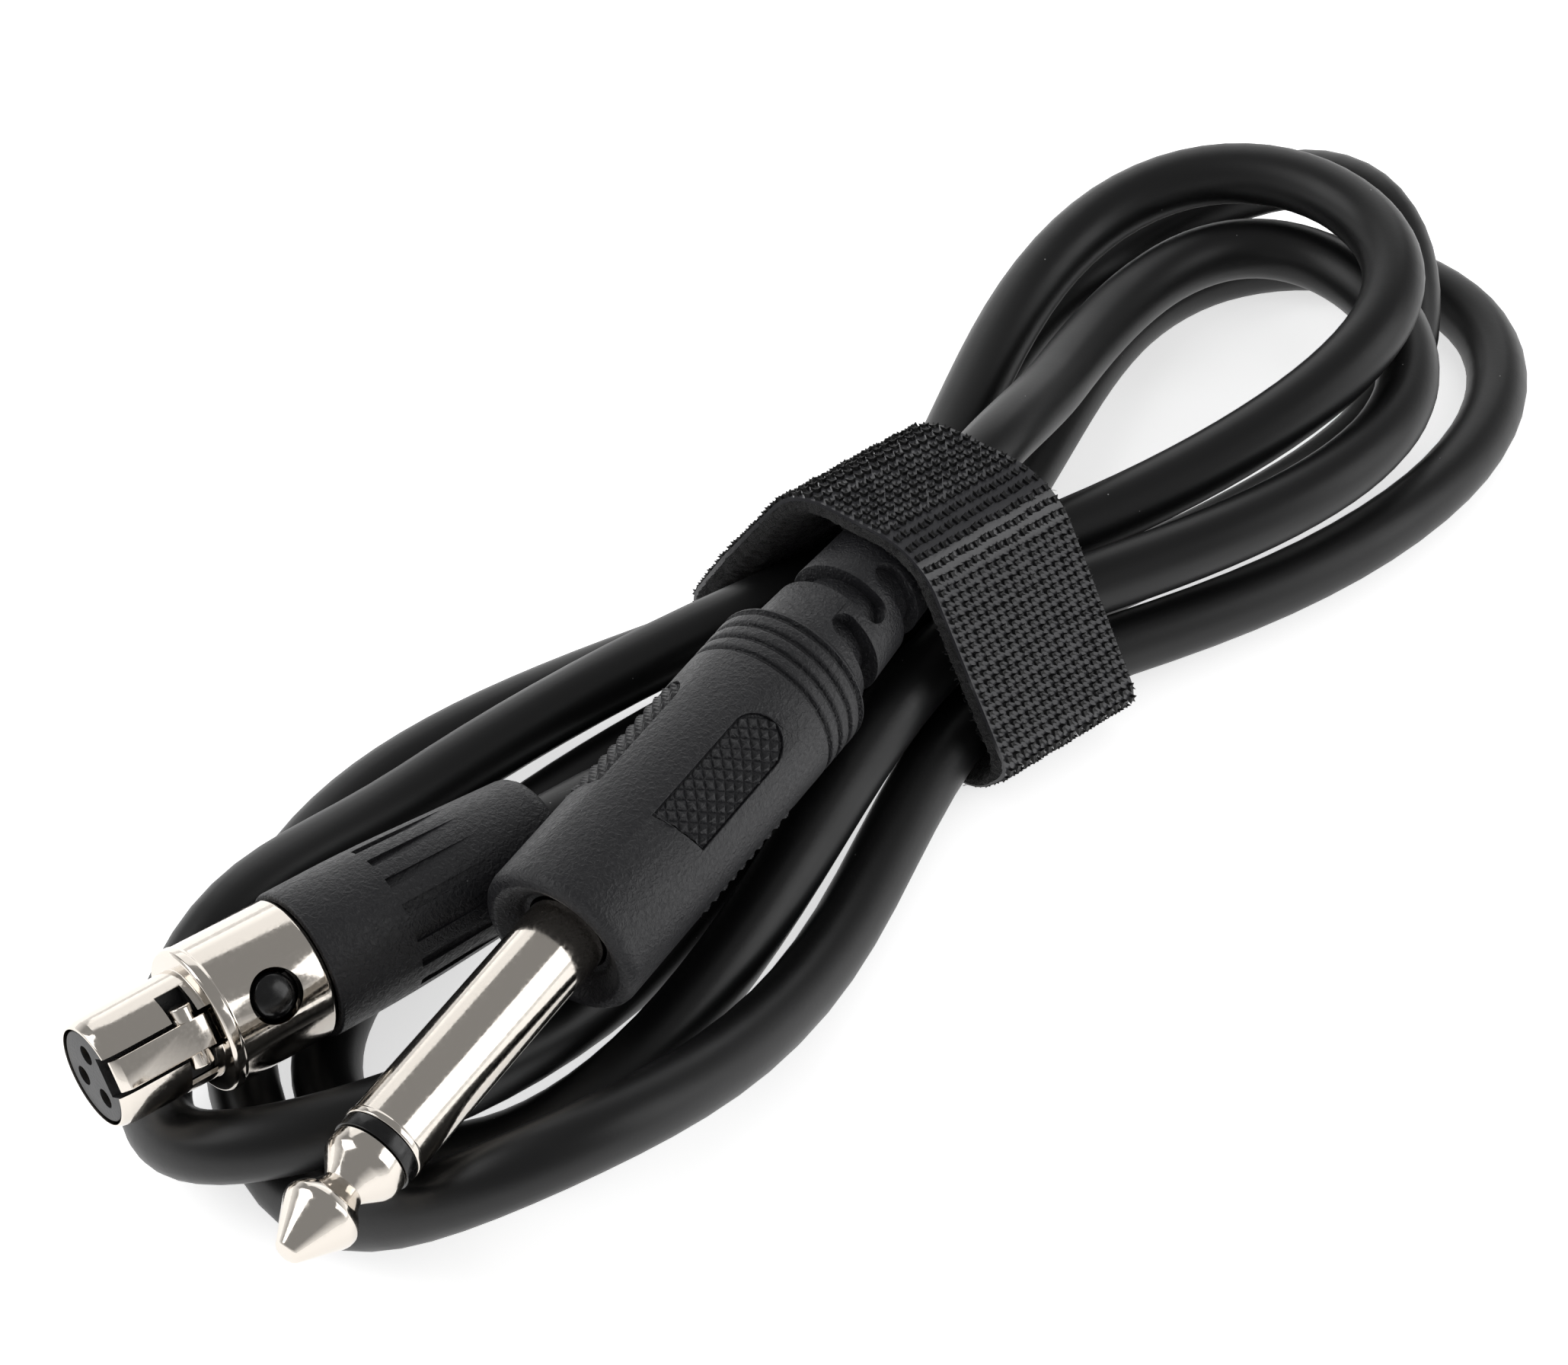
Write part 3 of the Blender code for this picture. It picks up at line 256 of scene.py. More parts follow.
route = [point + hankPlace for point in cableRoute()]
cordCurve = bpy.data.curves.new("cableJacket", "CURVE")
cordCurve.dimensions = "3D"
cordCurve.bevel_depth = cordRadius
cordCurve.bevel_resolution = cable["sides"]
cordCurve.use_fill_caps = True
spline = cordCurve.splines.new("POLY")
spline.points.add(len(route) - 1)
for point, at in zip(spline.points, route):
    point.co = (*at, 1.0)
spline.use_smooth = True
cordCurve.materials.append(cordPvc)
jacket = bpy.data.objects.new("cable_jacket", cordCurve)
scene.collection.objects.link(jacket)
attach(jacket, "hank")
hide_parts("cable")


# Mesh helpers
def finishPiece(name, shape, place, material, nodes=(), body="hank", sharp=32.0):
    bmesh.ops.remove_doubles(shape, verts=shape.verts, dist=0.2e-6)
    bmesh.ops.transform(shape, matrix=place, verts=shape.verts)
    mesh = bpy.data.meshes.new(name)
    shape.to_mesh(mesh)
    shape.free()
    mesh.shade_smooth()
    mesh.set_sharp_from_angle(angle=radians(sharp))
    mesh.materials.append(material)
    piece = bpy.data.objects.new(name, mesh)
    scene.collection.objects.link(piece)
    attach(piece, body)
    if nodes:
        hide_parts(*nodes)
    return piece


def turned(profile, segments=96, closed=False):
    shape = bmesh.new()
    corners = [shape.verts.new((entry[0] * mm, 0, entry[1] * mm)) for entry in profile]
    ends = corners[1:] + corners[:1] if closed else corners[1:]
    for a, b in zip(corners, ends):
        shape.edges.new((a, b))
    for corner, entry in zip(corners, profile):
        if len(entry) > 2:      # third number: how far the corner is rounded
            bmesh.ops.bevel(shape, geom=[corner], offset=entry[2] * mm, offset_type="OFFSET", affect="VERTICES",
                            segments=4, profile=0.5, material=-1)
    bmesh.ops.spin(shape, geom=shape.verts[:] + shape.edges[:], cent=(0, 0, 0), axis=(0, 0, 1), dvec=(0, 0, 0),
                   angle=2 * pi, steps=segments, use_merge=True, use_duplicate=False)
    bmesh.ops.remove_doubles(shape, verts=shape.verts, dist=0.2e-6)
    bmesh.ops.recalc_face_normals(shape, faces=shape.faces)
    return shape


def block(low, high):
    shape = bmesh.new()
    size = [(b - a) * mm for a, b in zip(low, high)]
    middle = [(a + b) / 2 * mm for a, b in zip(low, high)]
    bmesh.ops.create_cube(shape, size=1.0, matrix=Matrix.Translation(middle) @ Matrix.Diagonal((*size, 1.0)))
    return shape


def placed(shape, matrix):
    bmesh.ops.transform(shape, matrix=matrix, verts=shape.verts)
    return shape


def carve(shape, tools, operation="DIFFERENCE"):
    held = []
    for form in [shape] + list(tools):
        mesh = bpy.data.meshes.new("form")
        form.to_mesh(mesh)
        form.free()
        held.append(bpy.data.objects.new("form", mesh))
        scene.collection.objects.link(held[-1])
    for tool in held[1:]:
        boolean = held[0].modifiers.new("carve", "BOOLEAN")
        boolean.operation = operation
        boolean.solver = "EXACT"
        boolean.object = tool
    bpy.context.view_layer.update()
    result = bmesh.new()
    result.from_object(held[0], bpy.context.evaluated_depsgraph_get())
    for thing in held:
        bpy.data.meshes.remove(thing.data)
    return result


# Nickel plate on turned brass, bright: mirror-like with a warm tint and a faint grain of polishing
nickel, tree, shader = newMaterial("nickelPlate", Base_Color=hexLinear("#dcd5cc"), Metallic=1.0, Roughness=0.1)
grit = addGrain(tree, 0.3, 5.0)
addDull(tree, shader, grit, 0.35, 0.75, 0.06, 0.2)
addRelief(tree, shader, grit, 0.12, 0.02)

# Soft PVC moulded in a grained tool: black, dull, with a wrinkled leather grain a third of a millimetre across
mouldPvc, tree, shader = newMaterial("grainedPvc", Roughness=0.46, IOR=1.48)
addDust(tree, shader, "#1b1b1e", 2.8, 0.03)
grain = addGrain(tree, 0.36, 2.0, Roughness=0.55, Distortion=0.8)
addRelief(tree, shader, grain, 0.9, 0.14)
addDull(tree, shader, grain, 0.35, 0.65, 0.54, 0.4)

# Moulded nylon: black, half gloss, slightly mottled
nylon, tree, shader = newMaterial("blackNylon", Base_Color=hexLinear("#1a1a1c"), Roughness=0.45, IOR=1.53)
addRelief(tree, shader, addGrain(tree, 0.25, 3.0), 0.5, 0.06)

# Polished acetal: deep black with sharp highlights and a few dull rubbed spots
acetal, tree, shader = newMaterial("glossyAcetal", Base_Color=hexLinear("#0a0a0b"), Roughness=0.16, IOR=1.48)
addDull(tree, shader, addGrain(tree, 0.5, 4.0), 0.35, 0.7, 0.12, 0.32)

# Hidden metals and mouldings, each with the mottle of its own finish
innerFinishes = {
    "yellowBrass": ("#c9a35c", 1.0, 0.3, ("contact_1", "contact_2", "contact_3", "tip_terminal", "sleeve_terminal")),
    "bareCopper": ("#b87650", 1.0, 0.35, ("plug_core", "plug_shield", "socket_core", "socket_shield")),
    "springSteel": ("#a3a3a6", 1.0, 0.3, ("latch_spring", "latch_pin", "cable_clamp")),
    "naturalPolythene": ("#d8d2c2", 0.0, 0.5, ("inner_mould",)),
    "turnedNylon": ("#161617", 0.0, 0.4, ("rear_bush",)),
}
for name, (colour, metal, rough, nodes) in innerFinishes.items():
    finish, tree, shader = newMaterial(name, Base_Color=hexLinear(colour), Metallic=metal, Roughness=rough)
    addDull(tree, shader, addGrain(tree, 0.5, 3.0), 0.3, 0.7, rough - 0.08, rough + 0.08)
    for node in nodes:
        carried = frame["nodes"][node]
        carried.data.materials.clear()
        carried.data.materials.append(finish)
print("materials made")

# Plug: radii, and millimetres behind the sleeve's front edge; a profile's points are radius, place and rounding
plug = {"sleeve": 3.175, "bore": 2.575, "lip": 3.235, "bare": 20.5, "body": 6.55, "bodyEnd": 52.0,
        "cordHole": 2.95, "relief": 5.3, "waist": 4.45, "waistAt": 65.5, "reliefTip": 4.3, "reliefEnd": 74.0,
        "rings": (46.8, 48.2, 49.6, 51.0), "ringWidth": 0.6, "ringDepth": 0.4,
        "padCount": 4, "padStart": 30.0, "padLength": 13.0, "padWidth": 4.4, "padSlant": 1.2, "padFloor": 6.25,
        "padInset": 0.12, "valley": 6.3, "cell": 0.83, "cells": 24, "cellRise": 0.4,
        "slots": (54.7, 58.0, 61.2), "slotWidth": 2.2, "slotFloor": 3.6, "slotMean": 4.9, "slotHalf": 108.0,
        "edge": 0.09, "edgeRuns": ((29.0, 44.0), (53.2, 62.8)), "edgeLeast": 4.2}


def makeTip():
    profile = [(0, 31.0), (1.0, 31.0, 0.2), (1.0, -1.2), (3.0, -1.2, 0.12), (3.0, -2.35, 0.25), (2.7, -2.87, 0.15),
               (1.74, -4.0, 0.3), (1.55, -4.3, 0.2), (1.86, -5.1, 0.4), (2.75, -6.0, 0.5), (2.95, -6.6, 0.3),
               (2.89, -7.1, 0.4), (0.9, -10.5, 0.25), (0, -10.5)]
    return finishPiece("plug_tip_bright", turned(profile), plugFrame, nickel, ["plug_tip"], sharp=50)


def makeInsulator():
    profile = [(1.2, 26.6), (2.375, 26.6), (2.375, -0.04), (3.14, -0.04, 0.05), (3.14, -1.16, 0.05), (1.2, -1.16)]
    shape = turned(profile, closed=True)
    return finishPiece("tip_ring", shape, plugFrame, acetal, ["tip_insulator"])


def makeSleeve():
    profile = [(plug["bore"], 26.8), (4.3, 26.8), (4.3, 25.3), (plug["sleeve"], 25.3), (plug["sleeve"], 0.55, 0.05),
               (plug["lip"], 0.45, 0.05), (plug["lip"], 0, 0.12), (plug["bore"], 0)]
    return finishPiece("sleeve_tube", turned(profile, closed=True), plugFrame, nickel, ["plug_sleeve"])


def padForm(number, inset, base, wall, rise):
    # A pad's outline bent round the body at a base radius, with pyramids on a grid at 45 degrees
    half = (plug["padWidth"] / 2 - inset) * mm
    rear = plug["padLength"] * mm - inset * mm - half
    shape = bmesh.new()
    lie = Matrix.Translation((plug["padLength"] / 2 * mm, 0, 0)) @ Matrix.Rotation(pi / 4, 4, "Z")
    bmesh.ops.create_grid(shape, x_segments=plug["cells"], y_segments=plug["cells"],
                          size=plug["cells"] * plug["cell"] / 2 * mm, matrix=lie)
    bmesh.ops.poke(shape, faces=shape.faces[:], offset=rise * mm, center_mode="MEAN")
    slant = Vector((-plug["padWidth"], plug["padSlant"], 0))
    trims = [(Vector(((plug["padSlant"] / 2 + inset) * mm, 0, 0)), slant),
             (Vector((0, half, 0)), Vector((0, 1, 0))), (Vector((0, -half, 0)), Vector((0, -1, 0)))]
    for i in range(1, 16):      # round rear end
        way = Vector((cos(radians(-90 + 180 * i / 16)), sin(radians(-90 + 180 * i / 16)), 0))
        trims.append((Vector((rear, 0, 0)) + way * half, way))
    for at, way in trims:
        bmesh.ops.bisect_plane(shape, geom=shape.verts[:] + shape.edges[:] + shape.faces[:], dist=1e-7,
                               plane_co=at, plane_no=way, clear_outer=True)
    back = bmesh.ops.extrude_face_region(shape, geom=shape.faces[:], use_keep_orig=True)
    for vert in back["geom"]:
        if isinstance(vert, bmesh.types.BMVert):
            vert.co.z = wall * mm
    turn = 2 * pi * number / plug["padCount"]
    for vert in shape.verts:    # bend the pad round the body
        along, across, out = vert.co
        angle = turn + across / (base * mm)
        out += base * mm
        vert.co = (out * cos(angle), out * sin(angle), plug["padStart"] * mm + along)
    bmesh.ops.recalc_face_normals(shape, faces=shape.faces)
    return shape


def slotCutters(number):
    # A slot part of the way round the strain relief, its ends rounded by two radial cutters
    middle = plug["slots"][number]
    half = plug["slotWidth"] / 2
    floor, over = plug["slotFloor"], plug["body"] + 1
    side = pi / 2 if number % 2 == 0 else -pi / 2
    reach = radians(plug["slotHalf"]) - half / plug["slotMean"]
    shape = bmesh.new()
    outline = ((floor, middle - half), (over, middle - half), (over, middle + half), (floor, middle + half))
    start = shape.faces.new([shape.verts.new((r * mm, 0, z * mm)) for r, z in outline])
    bmesh.ops.spin(shape, geom=[start], cent=(0, 0, 0), axis=(0, 0, 1), dvec=(0, 0, 0), angle=2 * reach, steps=48,
                   use_duplicate=False)
    bmesh.ops.recalc_face_normals(shape, faces=shape.faces)
    cutters = [placed(shape, Matrix.Rotation(side - reach, 4, "Z"))]
    for end in (side - reach, side + reach):
        drill = turned([(0, floor), (half, floor), (half, over), (0, over)], segments=24)
        lie = Matrix.Rotation(end, 4, "Z") @ Matrix.Rotation(pi / 2, 4, "Y")
        cutters.append(placed(drill, Matrix.Translation((0, 0, middle * mm)) @ lie))
    return cutters


def makeBody():
    floor = plug["body"] - plug["ringDepth"]
    half = plug["ringWidth"] / 2
    end = plug["bodyEnd"]
    profile = [(plug["cordHole"], plug["reliefEnd"], 0.2), (plug["reliefTip"], plug["reliefEnd"], 0.5),
               (plug["waist"], plug["waistAt"], 2.0), (plug["relief"], end, 0.25), (5.95, end),
               (plug["body"], end - 0.55, 0.25)]
    for middle in reversed(plug["rings"]):
        profile += [(plug["body"], middle + half, 0.12), (floor, middle + half * 0.4, 0.08),
                    (floor, middle - half * 0.4, 0.08), (plug["body"], middle - half, 0.12)]
    front = plug["bare"]
    profile += [(plug["body"], front, 1.0), (5.3, front, 0.5), (4.05, front + 1.0, 0.15), (3.75, front + 1.4, 0.1),
                (3.375, front + 1.5), (3.375, front + 3.3), (5.3, front + 3.3), (5.3, end - 1.8),
                (plug["cordHole"], end - 1.8)]
    shape = turned(profile, segments=120, closed=True)
    cutters = [padForm(number, 0.0, plug["padFloor"], 2.0, 0.0) for number in range(plug["padCount"])]
    for number in range(len(plug["slots"])):
        cutters += slotCutters(number)
    shape = carve(shape, cutters)
    rims = []
    for edge in shape.edges:    # the cuts' outer edges are slightly rounded
        spots = [(vert.co.z / mm, vert.co.xy.length / mm) for vert in edge.verts]
        inCut = all(any(low < at < high for low, high in plug["edgeRuns"]) for at, out in spots)
        outside = all(out > plug["edgeLeast"] for at, out in spots)
        padBase = all(at < plug["edgeRuns"][0][1] and out < plug["padFloor"] + 0.1 for at, out in spots)
        if inCut and outside and not padBase and edge.is_manifold and edge.calc_face_angle() > radians(45):
            rims.append(edge)
    bmesh.ops.bevel(shape, geom=rims, offset=plug["edge"] * mm, offset_type="OFFSET", affect="EDGES", segments=2,
                    profile=0.5, material=-1)
    teeth = [padForm(number, plug["padInset"], plug["valley"], -0.4, plug["cellRise"])
             for number in range(plug["padCount"])]
    shape = carve(shape, teeth, "UNION")
    return finishPiece("plug_grip", shape, plugFrame, mouldPvc, ["plug_body"])


makeTip()
makeInsulator()
makeSleeve()
makeBody()
print("plug made")

# Socket: radii, and millimetres behind its front face; the latch lies along its X side
socket = {"nose": 4.2, "noseBore": 3.75, "noseEnd": 8.3, "flange": 5.6, "flangeEnd": 9.3, "shell": 5.5,
          "shellEnd": 17.0, "bore": 4.6, "thread": 5.0, "threadEnd": 22.5, "edge": 0.06, "holeAt": 12.8, "hole": 2.05,
          "latchHalf": 1.5, "latchFloor": 1.9, "crossAt": 6.6, "crossHalf": 1.05, "crossReach": 3.4,
          "insert": 3.55, "face": 0.1, "insertEnd": 9.0, "contacts": (74, 180, 286), "contactOut": 1.75,
          "contactHole": 0.75, "contactMouth": 0.9}


def softened(piece, width):
    soft = piece.modifiers.new("edge", "BEVEL")
    soft.width = width * mm
    soft.segments = 2
    soft.limit_method = "ANGLE"
    soft.angle_limit = radians(40)
    return piece


def makeShell():
    shell, flange, nose = socket["shell"], socket["flange"], socket["nose"]
    profile = [(socket["bore"], socket["threadEnd"]), (socket["thread"], socket["threadEnd"]),
               (socket["thread"], socket["shellEnd"]), (shell, socket["shellEnd"], 0.35),
               (shell, socket["flangeEnd"], 0.06), (flange, 9.1, 0.08), (flange, 8.5, 0.08),
               (5.4, socket["noseEnd"], 0.08), (nose, socket["noseEnd"], 0.1), (nose, 1.3, 0.6), (4.1, 0.6, 0.3),
               (3.88, 0, 0.12), (socket["noseBore"], 0), (socket["noseBore"], socket["flangeEnd"]),
               (socket["bore"], socket["flangeEnd"])]
    shape = turned(profile, segments=120, closed=True)
    half, low, reach = socket["latchHalf"], socket["latchFloor"], socket["crossReach"]
    hole = placed(turned([(0, 2.3), (socket["hole"], 2.3), (socket["hole"], 9.0), (0, 9.0)], segments=48),
                  Matrix.Translation((0, 0, socket["holeAt"] * mm)) @ Matrix.Rotation(pi / 2, 4, "Y"))
    tools = [block((low, -half, -1.3), (11, half, 8.1)), block((low, -half, 0), (socket["bore"], half, 9.5)),
             block((low, -reach, socket["crossAt"] - socket["crossHalf"]),
                   (11, reach, socket["crossAt"] + socket["crossHalf"])), hole]
    shape = carve(shape, tools)
    piece = finishPiece("shell_bright", shape, socketFrame, nickel, ["socket_shell"], sharp=28)
    return softened(piece, socket["edge"])


def makeInsert():
    profile = [(0, socket["insertEnd"]), (socket["insert"], socket["insertEnd"]),
               (socket["insert"], socket["face"], 0.12), (0, socket["face"])]
    shape = turned(profile)
    half, reach = socket["latchHalf"], socket["crossReach"]
    tools = [block((2.0, -half, -1.3), (8.4, half, 9.3)),
             block((1.6, -reach, socket["crossAt"] - socket["crossHalf"]),
                   (8.4, reach, socket["crossAt"] + socket["crossHalf"]))]
    for angle in socket["contacts"]:
        out = socket["contactOut"] * mm
        at = Matrix.Translation((out * cos(radians(angle)), out * sin(radians(angle)), 0))
        mouth, hole = socket["contactMouth"], socket["contactHole"]
        tools.append(placed(turned([(0, -3), (mouth, -3), (hole, 0.35), (hole, 12), (0, 12)], segments=40), at))
    shape = carve(shape, tools)
    return finishPiece("contact_block", shape, socketFrame, nylon, ["contact_insert"])


# Latch: its side outline as place and radius, the ears in the cross slot, and the eye on the pin
latch = {"outline": ((0.3, 3.45), (6.95, 3.45), (6.95, 3.15), (20.2, 3.15), (20.2, 3.75), (8.4, 3.75), (7.8, 4.3),
                     (0.9, 4.3), (0.3, 3.7)),
         "half": 1.2, "edge": 0.1, "barrel": 0.85, "earReach": 2.3, "ear": (3.45, 6.6), "eye": (3.35, 20.2),
         "pinBore": 0.43}


def makeLatch():
    half, barrel, reach = latch["half"], latch["barrel"], latch["earReach"]
    shape = bmesh.new()
    side = shape.faces.new([shape.verts.new((out * mm, -half * mm, at * mm)) for at, out in latch["outline"]])
    wall = bmesh.ops.extrude_face_region(shape, geom=[side], use_keep_orig=True)
    bmesh.ops.translate(shape, vec=(0, 2 * half * mm, 0),
                        verts=[v for v in wall["geom"] if isinstance(v, bmesh.types.BMVert)])
    bmesh.ops.recalc_face_normals(shape, faces=shape.faces)
    bmesh.ops.bevel(shape, geom=shape.edges[:], offset=latch["edge"] * mm, offset_type="OFFSET", affect="EDGES",
                    segments=2, profile=0.5, material=-1)
    across = Matrix.Rotation(-pi / 2, 4, "X")
    earLie, eyeLie = (Matrix.Translation((out * mm, 0, at * mm)) @ across for out, at in (latch["ear"], latch["eye"]))
    ears = turned([(0, reach), (barrel, reach, 0.18), (barrel, -reach, 0.18), (0, -reach)], segments=32)
    eye = turned([(0, half), (barrel, half), (barrel, -half), (0, -half)], segments=32)
    bore = turned([(0, 3), (latch["pinBore"], 3), (latch["pinBore"], -3), (0, -3)], segments=32)
    shape = carve(shape, [placed(ears, earLie), placed(eye, eyeLie)], "UNION")
    shape = carve(shape, [placed(bore, eyeLie)])
    return finishPiece("latch_bar", shape, socketFrame, nickel, ["latch"], body="latch")


# Button: a domed cap on a foot that keeps it in its hole; heights from the socket's axis
button = {"radius": 1.65, "base": 3.95, "shoulder": 4.95, "dome": 0.65, "domeSteps": 8, "footTop": 4.22,
          "footHalf": (1.0, 2.6)}


def makeButton():
    radius, steps = button["radius"], button["domeSteps"]
    profile = [(0, button["shoulder"] + button["dome"])]
    for i in range(1, steps + 1):
        angle = radians(90 * i / steps)
        profile.append((radius * sin(angle), button["shoulder"] + button["dome"] * cos(angle)))
    profile += [(radius, button["base"], 0.1), (0, button["base"])]
    shape = turned(profile, segments=64)
    placed(shape, Matrix.Translation((0, 0, socket["holeAt"] * mm)) @ Matrix.Rotation(pi / 2, 4, "Y"))
    wide, long = button["footHalf"]
    foot = block((button["base"], -wide, socket["holeAt"] - long), (button["footTop"], wide, socket["holeAt"] + long))
    shape = carve(shape, [foot], "UNION")
    return finishPiece("button_cap", shape, socketFrame, acetal, ["release_button"], body="button",
                       sharp=45)


boot = {"radius": 5.8, "start": 17.2, "taperStart": 24.2, "end": 39.0, "endRadius": 5.0, "endRound": 1.3,
        "grooves": 16, "grooveHalf": 0.4, "grooveFloor": 5.35, "grooveLength": 10.0, "edge": 0.12, "collar": 5.2,
        "collarEnd": 22.7, "chamber": 4.5, "chamberEnd": 27.5}


def makeBoot():
    profile = [(plug["cordHole"], boot["end"], 0.25), (boot["endRadius"], boot["end"], boot["endRound"]),
               (boot["radius"], boot["taperStart"], 3.0), (boot["radius"], boot["start"], 0.2),
               (boot["collar"], boot["start"]), (boot["collar"], boot["collarEnd"]),
               (boot["chamber"], boot["collarEnd"]), (boot["chamber"], boot["chamberEnd"]),
               (plug["cordHole"], boot["chamberEnd"])]
    shape = turned(profile, segments=128, closed=True)
    tools = []
    for number in range(boot["grooves"]):
        tool = block((boot["grooveFloor"], -boot["grooveHalf"], boot["taperStart"]),
                     (7.0, boot["grooveHalf"], boot["taperStart"] + boot["grooveLength"]))
        tools.append(placed(tool, Matrix.Rotation(2 * pi * (number + 0.5) / boot["grooves"], 4, "Z")))
    shape = carve(shape, tools)
    piece = finishPiece("boot_grip", shape, socketFrame, mouldPvc, ["socket_boot"], sharp=30)
    return softened(piece, boot["edge"])


socketPieces = [makeShell(), makeInsert(), makeLatch(), makeButton(), makeBoot()]
socketPieces += [frame["nodes"][node] for node in ("contact_1", "contact_2", "contact_3", "latch_pin", "latch_spring",
                                                   "cable_clamp", "socket_core", "socket_shield")]
print("socket made")

# Strap: hook-and-loop tape, made flat and then wrapped round the waist, in millimetres
strap = {"width": 13.5, "middle": -1.5, "ringPoints": 240, "roundPoints": 120, "stations": (-10, 8), "gap": 0.25,
         "tuft": 1.1, "pile": 1.0, "film": 0.35, "pitchAcross": 0.79, "pitchAlong": 0.85, "nub": 0.36, "nubRise": 0.28,
         "prong": 0.14, "pressed": 0.5, "shear": 0.09, "fibres": 900, "fibre": 0.02, "fibreStep": 0.17, "seed": 7}
centre = [point - hankPlace for point in route]


def waistCircles(x):
    circles = []
    for a, b in zip(centre, centre[1:]):
        if (a.x - x) * (b.x - x) <= 0 and a.x != b.x:
            crossing = a.lerp(b, (x - a.x) / (b.x - a.x))
            circles.append((crossing.y, crossing.z, cordRadius))
    along = min((x - plugLie["place"].x) / plugAxis.x, plug["reliefEnd"] * mm)
    at = plugLie["place"] + plugAxis * along
    ahead = along / mm < plug["waistAt"]
    far, radius = (plug["bodyEnd"], plug["relief"]) if ahead else (plug["reliefEnd"], plug["reliefTip"])
    share = (along / mm - plug["waistAt"]) / (far - plug["waistAt"])
    circles.append((at.y, at.z, (plug["waist"] + (radius - plug["waist"]) * share) * mm))
    return circles


def tapeRing():
    spots = []
    for station in range(*strap["stations"]):   # a taut band: one outline round all that crosses it
        for y, z, radius in waistCircles(station * mm):
            y -= cable["skew"] * station * mm
            out = radius + strap["gap"] * mm
            for i in range(strap["roundPoints"]):
                angle = 2 * pi * i / strap["roundPoints"]
                spots.append(Vector((y + out * cos(angle), z + out * sin(angle))))
    hull = [spots[i] for i in convex_hull_2d(spots)]
    edges = list(zip(hull, hull[1:] + hull[:1]))
    low = [(a.lerp(b, a.x / (a.x - b.x)), i) for i, (a, b) in enumerate(edges) if a.x * b.x <= 0 and a.x != b.x]
    start, number = min(low, key=lambda item: item[0].y)
    line = [start] + hull[number + 1:] + hull[:number + 1] + [start]
    if line[1].x < 0:           # always the same way round
        line.reverse()
    lengths = [0.0]
    for a, b in zip(line, line[1:]):
        lengths.append(lengths[-1] + (b - a).length)
    places = []
    at = 0
    for i in range(strap["ringPoints"]):
        goal = lengths[-1] * i / strap["ringPoints"]
        while lengths[at + 1] < goal:
            at += 1
        share = (goal - lengths[at]) / max(1e-9, lengths[at + 1] - lengths[at])
        places.append(line[at].lerp(line[at + 1], share))
    ring = []
    for i in range(len(places)):
        way = places[(i + 2) % len(places)] - places[i - 2]
        ring.append((places[i], Vector((way.y, -way.x)).normalized()))
    return ring, lengths[-1]


ring, girth = tapeRing()


def wrapped(across, along, rise):
    turn = along / girth * len(ring)
    number = int(turn // 1)
    (spot, out), (nextSpot, nextOut) = ring[number % len(ring)], ring[(number + 1) % len(ring)]
    spot = spot.lerp(nextSpot, turn - number)
    out = out.lerp(nextOut, turn - number).normalized()
    squeeze = strap["pressed"] + (1 - strap["pressed"]) * min(1.0, max(0.0, 1.0 + 2.0 * out.y))
    spot = spot + out * rise * squeeze
    x = across + strap["middle"] * mm - strap["shear"] * spot.x
    return hankPlace + Vector((x, spot.x + cable["skew"] * x, spot.y))


def tapeLayer(low, high, acrossSteps, alongSteps):
    shape = bmesh.new()
    bmesh.ops.create_grid(shape, x_segments=acrossSteps, y_segments=alongSteps, size=0.5)
    placed(shape, Matrix.Translation((0, girth / 2, low * mm)) @ Matrix.Diagonal((strap["width"] * mm, girth, 1, 1)))
    top = bmesh.ops.extrude_face_region(shape, geom=shape.faces[:], use_keep_orig=True)
    bmesh.ops.translate(shape, vec=(0, 0, (high - low) * mm),
                        verts=[v for v in top["geom"] if isinstance(v, bmesh.types.BMVert)])
    return shape


# Moulded polyamide film: black and glossy, seen between the hooks; its base colour is painted grey, a painted sheen
# that stands in for the light its gloss reflects
sheenLiftedFilm, tree, shader = newMaterial("hookFilmPaintedSheen", Base_Color=hexLinear("#3a3a3d"), Roughness=0.24, IOR=1.56)
addRelief(tree, shader, addGrain(tree, 0.5, 2.0), 0.25, 0.05)

# The same polyamide in the hooks themselves: black, half dull, their skin slightly torn by use
hookNylon, tree, shader = newMaterial("hookNub", Base_Color=hexLinear("#070708"), Roughness=0.5, IOR=1.45)
addRelief(tree, shader, addGrain(tree, 0.15, 2.0), 0.5, 0.05)

# Brushed nylon loops: black, no gloss, fuzzy
pileNylon, tree, shader = newMaterial("brushedLoop", Base_Color=hexLinear("#121213"), Roughness=0.9, Sheen_Weight=0.15,
                                      Sheen_Roughness=0.4)
addRelief(tree, shader, addGrain(tree, 0.22, 4.0, Distortion=1.5), 0.9, 0.25)


def wrapPiece(name, shape, material, nodes=(), sharp=40.0):
    for vert in shape.verts:
        vert.co = wrapped(*vert.co)
    bmesh.ops.remove_doubles(shape, verts=shape.verts, dist=2e-6)
    bmesh.ops.recalc_face_normals(shape, faces=shape.faces)
    return finishPiece(name, shape, Matrix(), material, nodes, sharp=sharp)


